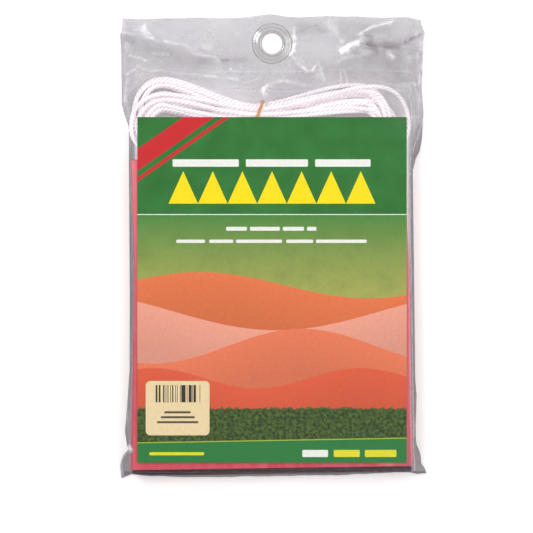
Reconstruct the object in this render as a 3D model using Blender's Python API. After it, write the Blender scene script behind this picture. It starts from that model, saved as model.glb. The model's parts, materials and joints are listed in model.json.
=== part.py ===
"""Emergency tube tent, folded and sealed in its clear hanging pouch.

The pouch lies on its back at z = 0 with its outline centred on the origin. +Y runs to the hang
hole, +X to the right of the printed front, +Z up out of the front. Lengths are in metres.
"""

import math

import bmesh
import bpy
import numpy as np
from mathutils import Matrix, Vector

# Fits
SEAT_GAP = 0.0003  # between two pieces that touch
OVERRUN = 0.002  # how far a cutter runs past what it cuts

# Folded tent
TENT_WIDTH = 0.1915
TENT_LENGTH_LEFT = 0.2143
TENT_LENGTH_RIGHT = 0.1983
TENT_HEIGHT = 0.015
TENT_PANELS = 12
PANEL_GAP = 0.0003
FOLD_STEPS = 4

# Guy line, wound into a hank of loops
CORD_DIAMETER = 0.003
LOOP_GAP = 0.00095  # between the loops of a layer
LAYER_GAP = 0.0006
LAYER_LEAN = 0.0007  # how far each layer is set back from the crease
LAYERS = 4
LOOPS_PER_LAYER = 3.5
POINTS_PER_LOOP = 24
LEAST_GAP = 0.0004
HANK_INSET = 0.00125  # from the tent's side to the middle of the cord at the hank's end
HANK_SHIFT = -0.0008
WAIST_OPENING = 0.00338  # left between the upper and the lower runs at the waist
TENT_TO_HANK = 0.00348
FILM_EASE = 0.0006  # room left between the hank and the film over it
# The outermost loop, as shares of half the length and of half the height, from its right end
# over the two humps and the tied waist and back along the lower run
HANK_OUTLINE_SHARES = (
    (1.0, -0.2),
    (0.955, 0.36),
    (0.79, 0.74),
    (0.4, 0.72),
    (-0.13, 0.37),
    (-0.52, 0.74),
    (-0.79, 1.0),
    (-0.955, 0.68),
    (-1.0, 0.14),
    (-0.93, -0.38),
    (-0.62, -0.68),
    (-0.13, -0.7),
    (0.4, -0.92),
    (0.78, -1.0),
    (0.96, -0.7),
)
WAIST_POINT = 4  # of the outline above
WAIST_BELOW = 11
LOW_LEFT = 10
LOW_RIGHT = 13

# Rubber band round the waist
BAND_WIDTH = 0.002
BAND_THICK = 0.0006
BAND_TILT = math.radians(-20)
BAND_CORNER = 0.003
BAND_CORNER_STEPS = 4

# Printed card and folded leaflet
CARD_SIDE = 0.00315  # from the tent's side to the card's
CARD_THICK = 0.0004
CARD_INSET = 0.006  # from the bottom wall to the card
CARD_PAST_HANK = 0.0022  # how far the card runs past the middle of the hank
LEAFLET_SIDE = 0.02075
LEAFLET_THICK = 0.0003
LEAFLET_INSET = 0.015
LEAFLET_BELOW_TOP = 0.0016  # from the leaflet's top to the middle of the tent's slanted top

# Eyelet
HOLE_RADIUS = 0.007
BARREL_WALL = 0.001
BEAD_WIDTH = 0.0012
BEAD_HEIGHT = 0.0005
EYELET_RIM = 0.006  # from the barrel to the edge of the flange
EYELET_FLANGE = 0.0008
EYELET_EDGE = 0.0003  # chamfer of the flange's rim
ROUND_STEPS = 40

# Clear pouch
FILM = 0.0003
BODY_SIDE = 0.00175  # from the tent's side to the edge of the pouch's seam
HEADER_SIDE = 0.00875
EAR_SIDE = 0.00975
EAR_LENGTH = 0.0085  # full width of the ears, up from the bottom seam
EAR_TAPER = 0.014  # from there to the body's width
BODY_ABOVE_TENT = 0.006  # from the tent's higher corner to where the sides start to spread
BODY_TAPER = 0.028  # from there to the header's width
SEAM_FLANGE = 0.0049  # flat seam below the bottom wall
SIDE_FLANGE = 0.0012  # flat seam outside a side wall at the header end
WALL_LEAN = 0.0008  # how far the bottom wall leans over its height
WALL_FILLET = 0.002
SHOULDER = 0.0058  # how far the side walls lean in over the hank
BACK_RISE = 0.012  # length over which the back film rises to the header
HANK_TO_CREASE = 0.0067  # from the middle of the cord in the highest hump

# Header
EYELET_TO_CREASE = 0.0036
EYELET_TO_TOP = 0.0054
CREASE_GAP = 0.0009  # between the pouch's plies and the header's, along the crease
TOP_BOW = 0.002  # how far the top edge bows up over the hole
HEADER_CORNER = 0.004

# The hank's two ways across, wide enough for its loops to turn back at the waist
LOOP_PITCH = CORD_DIAMETER + LOOP_GAP
LAYER_PITCH = CORD_DIAMETER + LAYER_GAP
WAIST_SHARE = (HANK_OUTLINE_SHARES[WAIST_POINT][1] - HANK_OUTLINE_SHARES[WAIST_BELOW][1]) / 2
HANK_HEIGHT = (2 * LOOPS_PER_LAYER * LOOP_PITCH + WAIST_OPENING) / WAIST_SHARE
HANK_LENGTH = TENT_WIDTH - 2 * HANK_INSET

# Heights of the stack, from the surface that the pouch lies on
BAG_BACK_TOP = FILM
TENT_Z = BAG_BACK_TOP + SEAT_GAP
LEAFLET_Z = TENT_Z + TENT_HEIGHT + SEAT_GAP
BAND_Z = BAG_BACK_TOP + SEAT_GAP
HANK_Z = BAND_Z + BAND_THICK + SEAT_GAP
HANK_TOP = HANK_Z + CORD_DIAMETER + LAYER_PITCH * (LAYERS - 1)
BAND_TOP = HANK_TOP + SEAT_GAP + BAND_THICK
CARD_Z = max(LEAFLET_Z + LEAFLET_THICK, BAND_TOP) + SEAT_GAP
FRONT_Z = CARD_Z + CARD_THICK + SEAT_GAP
BACK_PLY_Z = EYELET_FLANGE + SEAT_GAP
FRONT_PLY_Z = BACK_PLY_Z + FILM + SEAT_GAP
CREASE_Z = FRONT_PLY_Z + FILM

# Widths
EYELET_BORE = HOLE_RADIUS + BARREL_WALL + SEAT_GAP  # hole in the plies and in the back ring
EYELET_RADIUS = HOLE_RADIUS + BARREL_WALL + EYELET_RIM
WALL_X = TENT_WIDTH / 2 + SEAT_GAP
BODY_X = TENT_WIDTH / 2 + BODY_SIDE
HEADER_X = TENT_WIDTH / 2 + HEADER_SIDE
EAR_X = TENT_WIDTH / 2 + EAR_SIDE
CARD_WIDTH = TENT_WIDTH - 2 * CARD_SIDE
LEAFLET_WIDTH = TENT_WIDTH - 2 * LEAFLET_SIDE

# Lengths up from the bottom seam
TENT_START = SEAM_FLANGE + SEAT_GAP
TENT_END = TENT_START + max(TENT_LENGTH_LEFT, TENT_LENGTH_RIGHT)
HANK_FOOT = max(
    TENT_LENGTH_LEFT - HANK_OUTLINE_SHARES[LOW_LEFT][1] * HANK_HEIGHT / 2,
    TENT_LENGTH_RIGHT - HANK_OUTLINE_SHARES[LOW_RIGHT][1] * HANK_HEIGHT / 2,
)
HANK_ROOM = TENT_TO_HANK + CORD_DIAMETER / 2 + LAYER_LEAN * (LAYERS - 1)
HANK_MIDDLE = TENT_START + HANK_FOOT + HANK_ROOM
CREASE_START = HANK_MIDDLE + HANK_HEIGHT / 2 + HANK_TO_CREASE
HOLE_MIDDLE = CREASE_START + EYELET_TO_CREASE + EYELET_RADIUS
POUCH_LENGTH = HOLE_MIDDLE + EYELET_RADIUS + EYELET_TO_TOP

# Places along the pouch
SEAM_Y = -POUCH_LENGTH / 2
WALL_Y = SEAM_Y + SEAM_FLANGE
SPREAD_Y = SEAM_Y + TENT_END + BODY_ABOVE_TENT
HANK_Y = SEAM_Y + HANK_MIDDLE
CREASE_Y = SEAM_Y + CREASE_START
HOLE_Y = SEAM_Y + HOLE_MIDDLE
TOP_Y = POUCH_LENGTH / 2
CARD_Y = WALL_Y + CARD_INSET
CARD_LENGTH = HANK_Y + CARD_PAST_HANK - CARD_Y
LEAFLET_Y = WALL_Y + LEAFLET_INSET
TENT_MIDDLE_TOP = SEAM_Y + TENT_START + (TENT_LENGTH_LEFT + TENT_LENGTH_RIGHT) / 2
LEAFLET_LENGTH = TENT_MIDDLE_TOP - LEAFLET_BELOW_TOP - LEAFLET_Y

CLEAR_FILM = ("clear_polyethylene_film", (0.72, 0.72, 0.76), 0.12)
CLEAR_PLASTIC = ("clear_moulded_plastic", (0.78, 0.78, 0.82), 0.2)
TENT_FILM = ("coral_polyethylene_film", (0.73, 0.1, 0.14), 0.35)
CARD_STOCK = ("printed_card", (0.04, 0.23, 0.05), 0.45)
PAPER = ("plain_paper", (0.85, 0.84, 0.8), 0.7)
CORD_FIBRE = ("white_polyester_cord", (0.9, 0.87, 0.88), 0.75)
RUBBER = ("tan_rubber", (0.6, 0.28, 0.16), 0.55)


def clear_scene():
    for obj in list(bpy.data.objects):
        bpy.data.objects.remove(obj)


def material(finish):
    """The Principled material of a finish: its name, linear colour and roughness."""
    name, colour, roughness = finish
    made = bpy.data.materials.get(name)
    if made is None:
        made = bpy.data.materials.new(name)
        made.use_nodes = True
        shader = made.node_tree.nodes["Principled BSDF"]
        shader.inputs["Base Color"].default_value = (*colour, 1)
        shader.inputs["Roughness"].default_value = roughness
        shader.inputs["Metallic"].default_value = 0
    return made


def linked(name, data, finish, pivot):
    """An object of that data, modelled in world places, with its origin on its body's pivot."""
    data.materials.append(material(finish))
    data.transform(Matrix.Translation(-pivot.location))
    obj = bpy.data.objects.new(name, data)
    bpy.context.collection.objects.link(obj)
    obj.parent = pivot
    return obj


def mesh_object(name, shape, finish, pivot):
    bmesh.ops.recalc_face_normals(shape, faces=shape.faces)
    mesh = bpy.data.meshes.new(name)
    shape.to_mesh(mesh)
    shape.free()
    return linked(name, mesh, finish, pivot)


def pivot_at(name, place):
    pivot = bpy.data.objects.new(name, None)
    pivot.location = place
    bpy.context.collection.objects.link(pivot)
    return pivot


def smooth(obj, sharp_degrees=40):
    obj.data.shade_smooth()
    obj.data.set_sharp_from_angle(angle=math.radians(sharp_degrees))


def rounded(corners, radius, steps=3):
    """The points of an open line in a plane, with each inner corner eased over the radius."""
    points = [Vector(corners[0])]
    for before, corner, after in zip(corners, corners[1:], corners[2:], strict=False):
        corner = Vector(corner)
        back, on = Vector(before) - corner, Vector(after) - corner
        start = corner + back.normalized() * min(radius, back.length * 0.45)
        end = corner + on.normalized() * min(radius, on.length * 0.45)
        for i in range(steps + 1):
            t = i / steps
            points.append(start.lerp(corner, t).lerp(corner.lerp(end, t), t))
    points.append(Vector(corners[-1]))
    return points


def between(y, places):
    """The value at y of a line through (y, value) places."""
    return float(np.interp(y, *zip(*places, strict=True)))


def edge_at(y):
    """Half the width of the flat seams at y."""
    ear_top = SEAM_Y + EAR_LENGTH
    return between(
        y,
        (
            (ear_top, EAR_X),
            (ear_top + EAR_TAPER, BODY_X),
            (SPREAD_Y, BODY_X),
            (SPREAD_Y + BODY_TAPER, HEADER_X),
        ),
    )


def back_rise_at(y):
    """How high the back film's underside is at y."""
    end = CREASE_Y - CREASE_GAP / 2
    return between(y, ((end - BACK_RISE, 0), (end, BACK_PLY_Z)))


def hank_outline(turn):
    """The middle of the outermost loop at a share of a turn, on a closed smooth curve."""
    shares = HANK_OUTLINE_SHARES
    place = (turn % 1) * len(shares)
    first = int(place)
    t = place - first
    a, b, c, d = (
        np.array(shares[(first + k) % len(shares)], float) for k in (-1, 0, 1, 2)
    )
    share = 0.5 * (
        2 * b + (c - a) * t + (2 * a - 5 * b + 4 * c - d) * t**2 + (3 * b - a - 3 * c + d) * t**3
    )
    return np.array(
        (
            HANK_SHIFT + share[0] * HANK_LENGTH / 2,
            HANK_Y + share[1] * HANK_HEIGHT / 2,
        )
    )


def hank_point(turns):
    """The middle of the cord after that many turns from its lower end.

    The loops spiral in and out again at a steady rate, and the cord climbs a layer in the half
    turn where the spiral turns back, each time along a run through the waist.
    """
    start = WAIST_BELOW / len(HANK_OUTLINE_SHARES)
    spot = start + turns
    step = 0.001
    along = hank_outline(spot + step) - hank_outline(spot - step)
    inward = np.array((-along[1], along[0])) / np.linalg.norm(along)
    sweep = turns / LOOPS_PER_LAYER
    back = sweep % 2
    depth = LOOP_PITCH * LOOPS_PER_LAYER * min(back, 2 - back)
    nearest = max(1, min(LAYERS - 1, round(sweep)))
    climb = (sweep - nearest) * LOOPS_PER_LAYER * 2 + 0.5
    layer = nearest - 1 + max(0, min(1, climb))
    flat = hank_outline(spot) + inward * depth
    return Vector(
        (
            flat[0],
            flat[1] - LAYER_LEAN * layer,
            HANK_Z + CORD_DIAMETER / 2 + LAYER_PITCH * layer,
        )
    )


def hank_points():
    """The cord's points, with a straight run of one diameter at each end."""
    count = round(LAYERS * LOOPS_PER_LAYER * POINTS_PER_LOOP)
    points = [hank_point(i / POINTS_PER_LOOP) for i in range(count + 1)]
    for end, inner, at in ((0, 1, 0), (-1, -2, len(points) + 1)):
        away = (points[end] - points[inner]).normalized()
        points.insert(at, points[end] + away * CORD_DIAMETER)
    return points


def least_gap(points, diameter):
    """The least clear distance between stretches of a cord that aren't next to each other."""
    line = np.array([tuple(p) for p in points])
    along = np.concatenate([[0], np.cumsum(np.linalg.norm(np.diff(line, axis=0), axis=1))])
    at = np.arange(0, along[-1], diameter / 3)
    fine = np.stack([np.interp(at, along, line[:, k]) for k in range(3)], axis=1)
    nearest = math.inf
    for i in range(len(fine)):
        other = fine[at > at[i] + 6 * diameter]
        if len(other):
            nearest = min(nearest, np.linalg.norm(other - fine[i], axis=1).min())
    return nearest - diameter


def sheet_object(name, rows, pivot):
    """A film of one thickness over rows of points, thickened away from the contents."""
    shape = bmesh.new()
    grid = [[shape.verts.new(p) for p in row] for row in rows]
    for low, high in zip(grid, grid[1:], strict=False):
        for i in range(len(low) - 1):
            shape.faces.new((low[i], low[i + 1], high[i + 1], high[i]))
    mesh = bpy.data.meshes.new(name)
    shape.to_mesh(mesh)
    shape.free()
    obj = linked(name, mesh, CLEAR_FILM, pivot)
    wall = obj.modifiers.new("film", "SOLIDIFY")
    wall.thickness = FILM
    wall.offset = 1
    wall.use_even_offset = True
    return obj


def bag_front_film(pivot):
    """The front of the pouch, drawn over the contents and flat along its seams."""
    end = CREASE_Y - CREASE_GAP / 2
    hank_top = max(p.y for p in hank_points()) + CORD_DIAMETER / 2
    knee_y = hank_top + FILM_EASE
    knee_z = HANK_Z + CORD_DIAMETER + SEAT_GAP
    crest_y = knee_y - LAYER_LEAN * (FRONT_Z - knee_z) / LAYER_PITCH
    foot_z = FILM + SEAT_GAP
    ridge = rounded(
        (
            (SEAM_Y, foot_z),
            (WALL_Y - WALL_LEAN, foot_z),
            (WALL_Y, FRONT_Z),
            (crest_y, FRONT_Z),
            (knee_y, knee_z),
            (end, FRONT_PLY_Z),
        ),
        WALL_FILLET,
    )
    wide = SPREAD_Y + BODY_TAPER
    ear_top = SEAM_Y + EAR_LENGTH
    for y in (ear_top, ear_top + EAR_TAPER, SPREAD_Y, wide):
        ridge.append(Vector((y, FRONT_Z)))
    rows = []
    for y, z in sorted(ridge, key=lambda p: p[0]):
        foot = between(y, ((SPREAD_Y, WALL_X), (wide, HEADER_X - SIDE_FLANGE)))
        top = between(y, ((SPREAD_Y, WALL_X), (wide, HEADER_X - SIDE_FLANGE - SHOULDER)))
        low = back_rise_at(y) + FILM + SEAT_GAP
        half = rounded(((0, z), (top, z), (foot, low), (edge_at(y), low)), WALL_FILLET)
        left = [(-x, y, height) for x, height in reversed(half[1:])]
        rows.append(left + [(x, y, height) for x, height in half])
    smooth(sheet_object("bag_front_film", rows, pivot))


def bag_back_film(pivot):
    """The back of the pouch, flat up to the last stretch, where it rises to the header."""
    end = CREASE_Y - CREASE_GAP / 2
    ear_top = SEAM_Y + EAR_LENGTH
    places = (
        SEAM_Y,
        ear_top,
        ear_top + EAR_TAPER,
        SPREAD_Y,
        SPREAD_Y + BODY_TAPER,
        end - BACK_RISE,
        end,
    )
    rows = []
    for y in sorted(places):
        rows.append([(side * edge_at(y), y, back_rise_at(y)) for side in (-1, 0, 1)])
    sheet_object("bag_back_film", rows, pivot)


def header_ply(name, z, pivot):
    """One ply of the hang header, with a bowed top edge and the eyelet's hole."""
    start = CREASE_Y + CREASE_GAP / 2
    half = HEADER_X
    bow_steps = 8
    top = [
        (x * half, TOP_Y - TOP_BOW * x**2)
        for x in (1 - 2 * i / bow_steps for i in range(bow_steps + 1))
    ]
    outline = rounded([(half, start), *top, (-half, start)], HEADER_CORNER, 2)
    shape = bmesh.new()
    face = shape.faces.new([shape.verts.new((*p, z)) for p in outline])
    made = bmesh.ops.extrude_face_region(shape, geom=[face])
    lifted = [v for v in made["geom"] if isinstance(v, bmesh.types.BMVert)]
    bmesh.ops.translate(shape, verts=lifted, vec=(0, 0, FILM))
    ply = mesh_object(name, shape, CLEAR_FILM, pivot)
    cutter = turned(
        name + "_cutter",
        ((0, z - OVERRUN), (EYELET_BORE, z - OVERRUN), (EYELET_BORE, z + OVERRUN), (0, z + OVERRUN)),
        CLEAR_FILM,
        pivot,
    )
    cutter.hide_render = True
    cutter.display_type = "WIRE"
    cut = ply.modifiers.new("hole", "BOOLEAN")
    cut.object = cutter
    cut.solver = "EXACT"


def turned(name, profile, finish, pivot):
    """A closed outline of (radius, height) points turned about the hole's axis."""
    shape = bmesh.new()
    ring = [shape.verts.new((radius, HOLE_Y, height)) for radius, height in profile]
    edges = [shape.edges.new((a, b)) for a, b in zip(ring, ring[1:] + ring[:1], strict=True)]
    bmesh.ops.spin(
        shape,
        geom=edges,
        cent=(0, HOLE_Y, 0),
        axis=(0, 0, 1),
        angle=math.tau,
        steps=ROUND_STEPS,
        use_merge=True,
    )
    bmesh.ops.remove_doubles(shape, verts=shape.verts, dist=0.00001)
    bmesh.ops.dissolve_degenerate(shape, edges=shape.edges, dist=0.000001)
    obj = mesh_object(name, shape, finish, pivot)
    smooth(obj)
    return obj


def eyelet_front(pivot):
    """The front half: a barrel through the plies, a rounded bead and a thin flange."""
    outer = HOLE_RADIUS + BARREL_WALL
    low = CREASE_Z + SEAT_GAP
    face = low + EYELET_FLANGE
    turned(
        "eyelet_front",
        (
            (HOLE_RADIUS, 0),
            (outer, 0),
            (outer, low),
            (EYELET_RADIUS, low),
            (EYELET_RADIUS, face - EYELET_EDGE),
            (EYELET_RADIUS - EYELET_EDGE, face),
            (outer + BEAD_WIDTH, face),
            (outer + BEAD_WIDTH / 2, face + BEAD_HEIGHT),
            (outer - BARREL_WALL / 2, face + BEAD_HEIGHT),
            (HOLE_RADIUS, face),
        ),
        CLEAR_PLASTIC,
        pivot,
    )


def eyelet_back(pivot):
    """The back ring, pressed over the barrel behind the plies."""
    turned(
        "eyelet_back",
        (
            (EYELET_BORE, 0),
            (EYELET_RADIUS - EYELET_EDGE, 0),
            (EYELET_RADIUS, EYELET_EDGE),
            (EYELET_RADIUS, EYELET_FLANGE),
            (EYELET_BORE, EYELET_FLANGE),
        ),
        CLEAR_PLASTIC,
        pivot,
    )


def slab(name, width, length, thick, low_corner_y, z, finish, pivot):
    """A flat sheet of stock, centred across the pouch."""
    shape = bmesh.new()
    bmesh.ops.create_cube(shape, size=1)
    bmesh.ops.scale(shape, verts=shape.verts, vec=(width, length, thick))
    middle = (0, low_corner_y + length / 2, z + thick / 2)
    bmesh.ops.translate(shape, verts=shape.verts, vec=middle)
    mesh_object(name, shape, finish, pivot)


def fold_side(side, first, thick):
    """One side of the folded strip, going up: rounded folds, with slots between them.

    Each fold joins a panel to the next, and each slot runs across to the far side's folds.
    """
    pitch = thick + PANEL_GAP
    edge, slot_end = TENT_WIDTH / 2, TENT_WIDTH / 2 - thick
    points = []
    if first:
        points += [(side * edge, TENT_Z), (side * edge, TENT_Z + thick)]
        points += [(-side * slot_end, TENT_Z + thick), (-side * slot_end, TENT_Z + pitch)]
    for panel in range(first, TENT_PANELS, 2):
        low = TENT_Z + panel * pitch
        alone = panel == TENT_PANELS - 1
        high = low + thick if alone else low + pitch + thick
        for i in range(FOLD_STEPS + 1):
            angle = math.pi * (i / FOLD_STEPS - 0.5)
            x = edge - thick + thick * math.cos(angle)
            points.append((side * x, (low + high) / 2 + (high - low) / 2 * math.sin(angle)))
        if panel + 2 < TENT_PANELS:
            points += [(-side * slot_end, high), (-side * slot_end, high + PANEL_GAP)]
    return points


def tent_film(pivot):
    """The tent: one strip of many plies, folded to and fro across the pouch."""
    thick = (TENT_HEIGHT - (TENT_PANELS - 1) * PANEL_GAP) / TENT_PANELS
    outline = fold_side(1, 0, thick) + fold_side(-1, 1, thick)[::-1]
    bottom = WALL_Y + SEAT_GAP
    shape = bmesh.new()
    ends = []
    for slant, length in ((0, 0), (TENT_LENGTH_RIGHT - TENT_LENGTH_LEFT, TENT_LENGTH_LEFT)):
        row = [(x, bottom + length + slant * (x / TENT_WIDTH + 0.5), z) for x, z in outline]
        ends.append([shape.verts.new(p) for p in row])
        shape.faces.new(ends[-1])
    low, high = ends
    for i in range(len(low)):
        j = (i + 1) % len(low)
        shape.faces.new((low[i], low[j], high[j], high[i]))
    mesh_object("tent_film", shape, TENT_FILM, pivot)


def cord_hank(pivot):
    """The guy line as one unbroken tube."""
    points = hank_points()
    gap = least_gap(points, CORD_DIAMETER)
    length = sum((b - a).length for a, b in zip(points, points[1:], strict=False))
    print(f"cord_hank: {length:.2f} m long, least gap to itself {gap * 1000:.2f} mm")
    if gap < LEAST_GAP:
        raise ValueError("the hank's loops lie too near each other")
    curve = bpy.data.curves.new("cord_hank", "CURVE")
    curve.dimensions = "3D"
    curve.bevel_depth = CORD_DIAMETER / 2
    curve.bevel_resolution = 1
    curve.use_fill_caps = True
    spline = curve.splines.new("POLY")
    spline.points.add(len(points) - 1)
    for knot, point in zip(spline.points, points, strict=True):
        knot.co = (*point, 1)
    linked("cord_hank", curve, CORD_FIBRE, pivot)


def rubber_band(pivot):
    """A flat band drawn round the hank's waist, a little askew."""
    share = WAIST_POINT / len(HANK_OUTLINE_SHARES)
    top = hank_outline(share)
    bottom = hank_outline(WAIST_BELOW / len(HANK_OUTLINE_SHARES))
    lean = LAYER_LEAN * (LAYERS - 1)
    room = CORD_DIAMETER / 2 + SEAT_GAP + FILM_EASE
    reach = ((top[1] - bottom[1] + lean) / 2 + room) / math.cos(BAND_TILT) + BAND_THICK
    middle = ((top[0] + bottom[0]) / 2, (top[1] + bottom[1] - lean) / 2)
    low = BAND_Z
    high = BAND_TOP
    corners = ((-reach, low), (reach, low), (reach, high), (-reach, high))
    centres = [
        (side * (reach - BAND_CORNER), end)
        for side, end in ((-1, low + BAND_CORNER), (1, low + BAND_CORNER))
    ]
    centres += [(reach - BAND_CORNER, high - BAND_CORNER), (-reach + BAND_CORNER, high - BAND_CORNER)]
    shape = bmesh.new()
    rings = []
    for k in range(len(corners)):
        for i in range(BAND_CORNER_STEPS + 1):
            angle = math.pi * (1 + k / 2 + i / BAND_CORNER_STEPS / 2)
            ring = []
            for radius, side in (
                (BAND_CORNER, -1),
                (BAND_CORNER, 1),
                (BAND_CORNER - BAND_THICK, 1),
                (BAND_CORNER - BAND_THICK, -1),
            ):
                across = centres[k][0] + radius * math.cos(angle)
                height = centres[k][1] + radius * math.sin(angle)
                wide = side * BAND_WIDTH / 2
                x = middle[0] + wide * math.cos(BAND_TILT) - across * math.sin(BAND_TILT)
                y = middle[1] + wide * math.sin(BAND_TILT) + across * math.cos(BAND_TILT)
                ring.append(shape.verts.new((x, y, height)))
            rings.append(ring)
    for ring, after in zip(rings, rings[1:] + rings[:1], strict=True):
        for i in range(len(ring)):
            j = (i + 1) % len(ring)
            shape.faces.new((ring[i], ring[j], after[j], after[i]))
    smooth(mesh_object("rubber_band", shape, RUBBER, pivot))


def main():
    clear_scene()
    pouch = pivot_at("pouch", (0, 0, 0))
    header = pivot_at("header", (0, CREASE_Y, CREASE_Z))
    card = pivot_at("card", (0, CARD_Y, CARD_Z))
    leaflet = pivot_at("leaflet", (0, LEAFLET_Y, LEAFLET_Z))
    bag_back_film(pouch)
    bag_front_film(pouch)
    tent_film(pouch)
    cord_hank(pouch)
    rubber_band(pouch)
    header_ply("header_back_film", BACK_PLY_Z, header)
    header_ply("header_front_film", FRONT_PLY_Z, header)
    eyelet_back(header)
    eyelet_front(header)
    slab(
        "insert_card", CARD_WIDTH, CARD_LENGTH, CARD_THICK, CARD_Y, CARD_Z, CARD_STOCK, card
    )
    slab(
        "instruction_leaflet",
        LEAFLET_WIDTH,
        LEAFLET_LENGTH,
        LEAFLET_THICK,
        LEAFLET_Y,
        LEAFLET_Z,
        PAPER,
        leaflet,
    )


main()
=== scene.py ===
"""Looks of an emergency tube tent, folded and sealed in its clear hanging pouch.

The pouch lies on its back at z = 0, with +Y towards the hang hole and +Z out of the printed
front. Lengths are in metres unless a name or a comment says millimetres or pixels. A pixel is
one of the 533 x 533 photograph, which looks straight down.
"""

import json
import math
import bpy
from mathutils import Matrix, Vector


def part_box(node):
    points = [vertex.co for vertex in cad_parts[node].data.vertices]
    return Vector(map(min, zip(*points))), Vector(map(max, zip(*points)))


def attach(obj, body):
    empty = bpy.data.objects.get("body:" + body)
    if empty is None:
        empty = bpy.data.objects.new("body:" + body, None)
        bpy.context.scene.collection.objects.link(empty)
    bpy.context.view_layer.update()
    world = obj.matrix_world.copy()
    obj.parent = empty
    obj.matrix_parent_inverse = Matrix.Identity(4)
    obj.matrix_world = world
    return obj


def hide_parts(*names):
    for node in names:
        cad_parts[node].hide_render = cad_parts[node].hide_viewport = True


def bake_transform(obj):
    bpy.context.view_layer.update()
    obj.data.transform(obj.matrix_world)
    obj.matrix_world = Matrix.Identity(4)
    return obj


bl_info = {
    "name": "Packed Tube Tent",
    "version": (1, 0, 0),
    "blender": (4, 5, 0),
    "location": "View3D > Sidebar > Packed Tent",
    "description": "Dresses the CAD frame of a folded tube tent in its clear hanging pouch",
    "category": "Object",
}

import bmesh
import bpy
import numpy as np
from bpy.props import FloatProperty, FloatVectorProperty, IntProperty, PointerProperty
from mathutils import Vector, kdtree, noise

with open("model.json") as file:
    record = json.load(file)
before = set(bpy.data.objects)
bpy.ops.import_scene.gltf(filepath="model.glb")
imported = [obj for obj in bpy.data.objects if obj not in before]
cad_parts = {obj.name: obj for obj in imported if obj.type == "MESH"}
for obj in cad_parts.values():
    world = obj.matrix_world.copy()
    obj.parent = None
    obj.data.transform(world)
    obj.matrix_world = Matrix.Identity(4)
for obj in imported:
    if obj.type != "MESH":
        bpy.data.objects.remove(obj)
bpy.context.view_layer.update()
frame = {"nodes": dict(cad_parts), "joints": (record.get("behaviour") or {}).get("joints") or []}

# Sizes of the solids that the frame doesn't state
FILM = 0.0003
FILM_GAP = 0.0003
HOLE_RADIUS = 0.007

# Places taken from the frame
JOINTS = {joint["name"]: joint for joint in frame["joints"]}
CREASE = Vector(JOINTS["header_fold"]["pos_m"])
CARD_TRAVEL = JOINTS["card_slide"]["range_m"][1]
SEAM_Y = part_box("bag_back_film")[0].y
TOP_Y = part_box("header_front_film")[1].y
FRONT_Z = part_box("bag_front_film")[1].z - FILM
PLY_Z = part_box("header_front_film")[0].z
BACK_PLY_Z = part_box("header_back_film")[0].z
TENT_LOW, TENT_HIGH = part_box("tent_film")
CARD_LOW, CARD_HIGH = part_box("insert_card")
HANK_LOW, HANK_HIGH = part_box("cord_hank")
RING_LOW, RING_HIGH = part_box("eyelet_front")
BACK_RING_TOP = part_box("eyelet_back")[1].z
HOLE_Y = (RING_LOW.y + RING_HIGH.y) / 2
EYELET_RADIUS = RING_HIGH.x

# The photograph's pixel in metres, the place of the origin in it, and its width and height
PIXEL = 0.0006875
ORIGIN_PIXEL = (272.0, 246.5)
PHOTO_SIZE = 533


def linear(colour):
    """The linear RGB of an sRGB hex colour."""
    parts = [int(colour[i : i + 2], 16) / 255 for i in (0, 2, 4)]
    return tuple(p / 12.92 if p <= 0.04045 else ((p + 0.055) / 1.055) ** 2.4 for p in parts)


def on_photo(x, y):
    """The place in metres of a pixel of the photograph."""
    return (x - ORIGIN_PIXEL[0]) * PIXEL, (ORIGIN_PIXEL[1] - y) * PIXEL


def length(name, description, default):
    """A length among the settings."""
    return FloatProperty(name=name, description=description, default=default, unit="LENGTH")


def paint(name, description, colour):
    """A colour among the settings, given as sRGB hex."""
    return FloatVectorProperty(
        name=name,
        description=description,
        default=linear(colour),
        subtype="COLOR",
        size=3,
        min=0,
        max=1,
    )


class PouchSettings(bpy.types.PropertyGroup):
    cell: length("Cell", "Side of the film mesh's cells where it is loose", 0.001)
    crumple: length("Crumple", "Height of the film's small crumples where it is loose", 0.0011)
    wave: length("Wave", "Height of the slow waves in the header", 0.0022)
    film: paint("Film", "Haze of the clear film", "C0BBC4")
    # Painted shade and painted glint: the colours that the haze darkens and whitens towards
    shade: paint("Shade", "Haze in the shadow at the foot of the contents", "431E2B")
    glint: paint("Glint", "Whitened film along a hard crease", "FFFFFF")


class TentSettings(bpy.types.PropertyGroup):
    panels: IntProperty(name="Panels", description="Panels of the to-and-fro fold", default=12)
    plies: IntProperty(name="Plies", description="Plies of film in a panel", default=18)
    film: paint("Film", "Colour of the tent's film", "CC4050")
    fold: paint("Fold", "Film stretched over a fold", "DC6271")
    # Painted highlight: the paler colour laid along the tent's two sides, past the card
    side: paint("Side", "Film drawn over the folds of the two sides", "F0808C")


class LineSettings(bpy.types.PropertyGroup):
    diameter: length("Diameter", "Diameter of the guy line", 0.003)
    lay: length("Lay", "Length over which a strand turns once", 0.0093)
    cord: paint("Cord", "Colour of the guy line", "FFF6FB")
    # Painted shade between two strands
    groove_shade: paint("Groove", "Cord between two strands", "D6CAD2")
    band: paint("Band", "Colour of the rubber band", "D2935F")


class EyeletSettings(bpy.types.PropertyGroup):
    rise: length("Rise", "Height of the ring's bead over its flange", 0.0009)
    plastic: paint("Plastic", "Tint of the clear moulded ring", "B9B1B4")


class CardSettings(bpy.types.PropertyGroup):
    header: paint("Header", "Card above the picture", "277029")
    sponged: paint("Sponged", "Paler soft patches of the header", "317E36")
    stripe: paint("Stripe", "Diagonal band across the corner", "CF2328")
    peaks: paint("Peaks", "Row of peaks", "FFE600")
    footer: paint("Footer", "Strip below the picture", "2C7E3E")
    board: paint("Board", "Uncoated back and cut edges of the board", "E6E2DA")
    paper: paint("Paper", "Paper of the leaflet", "ECEAE4")


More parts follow.
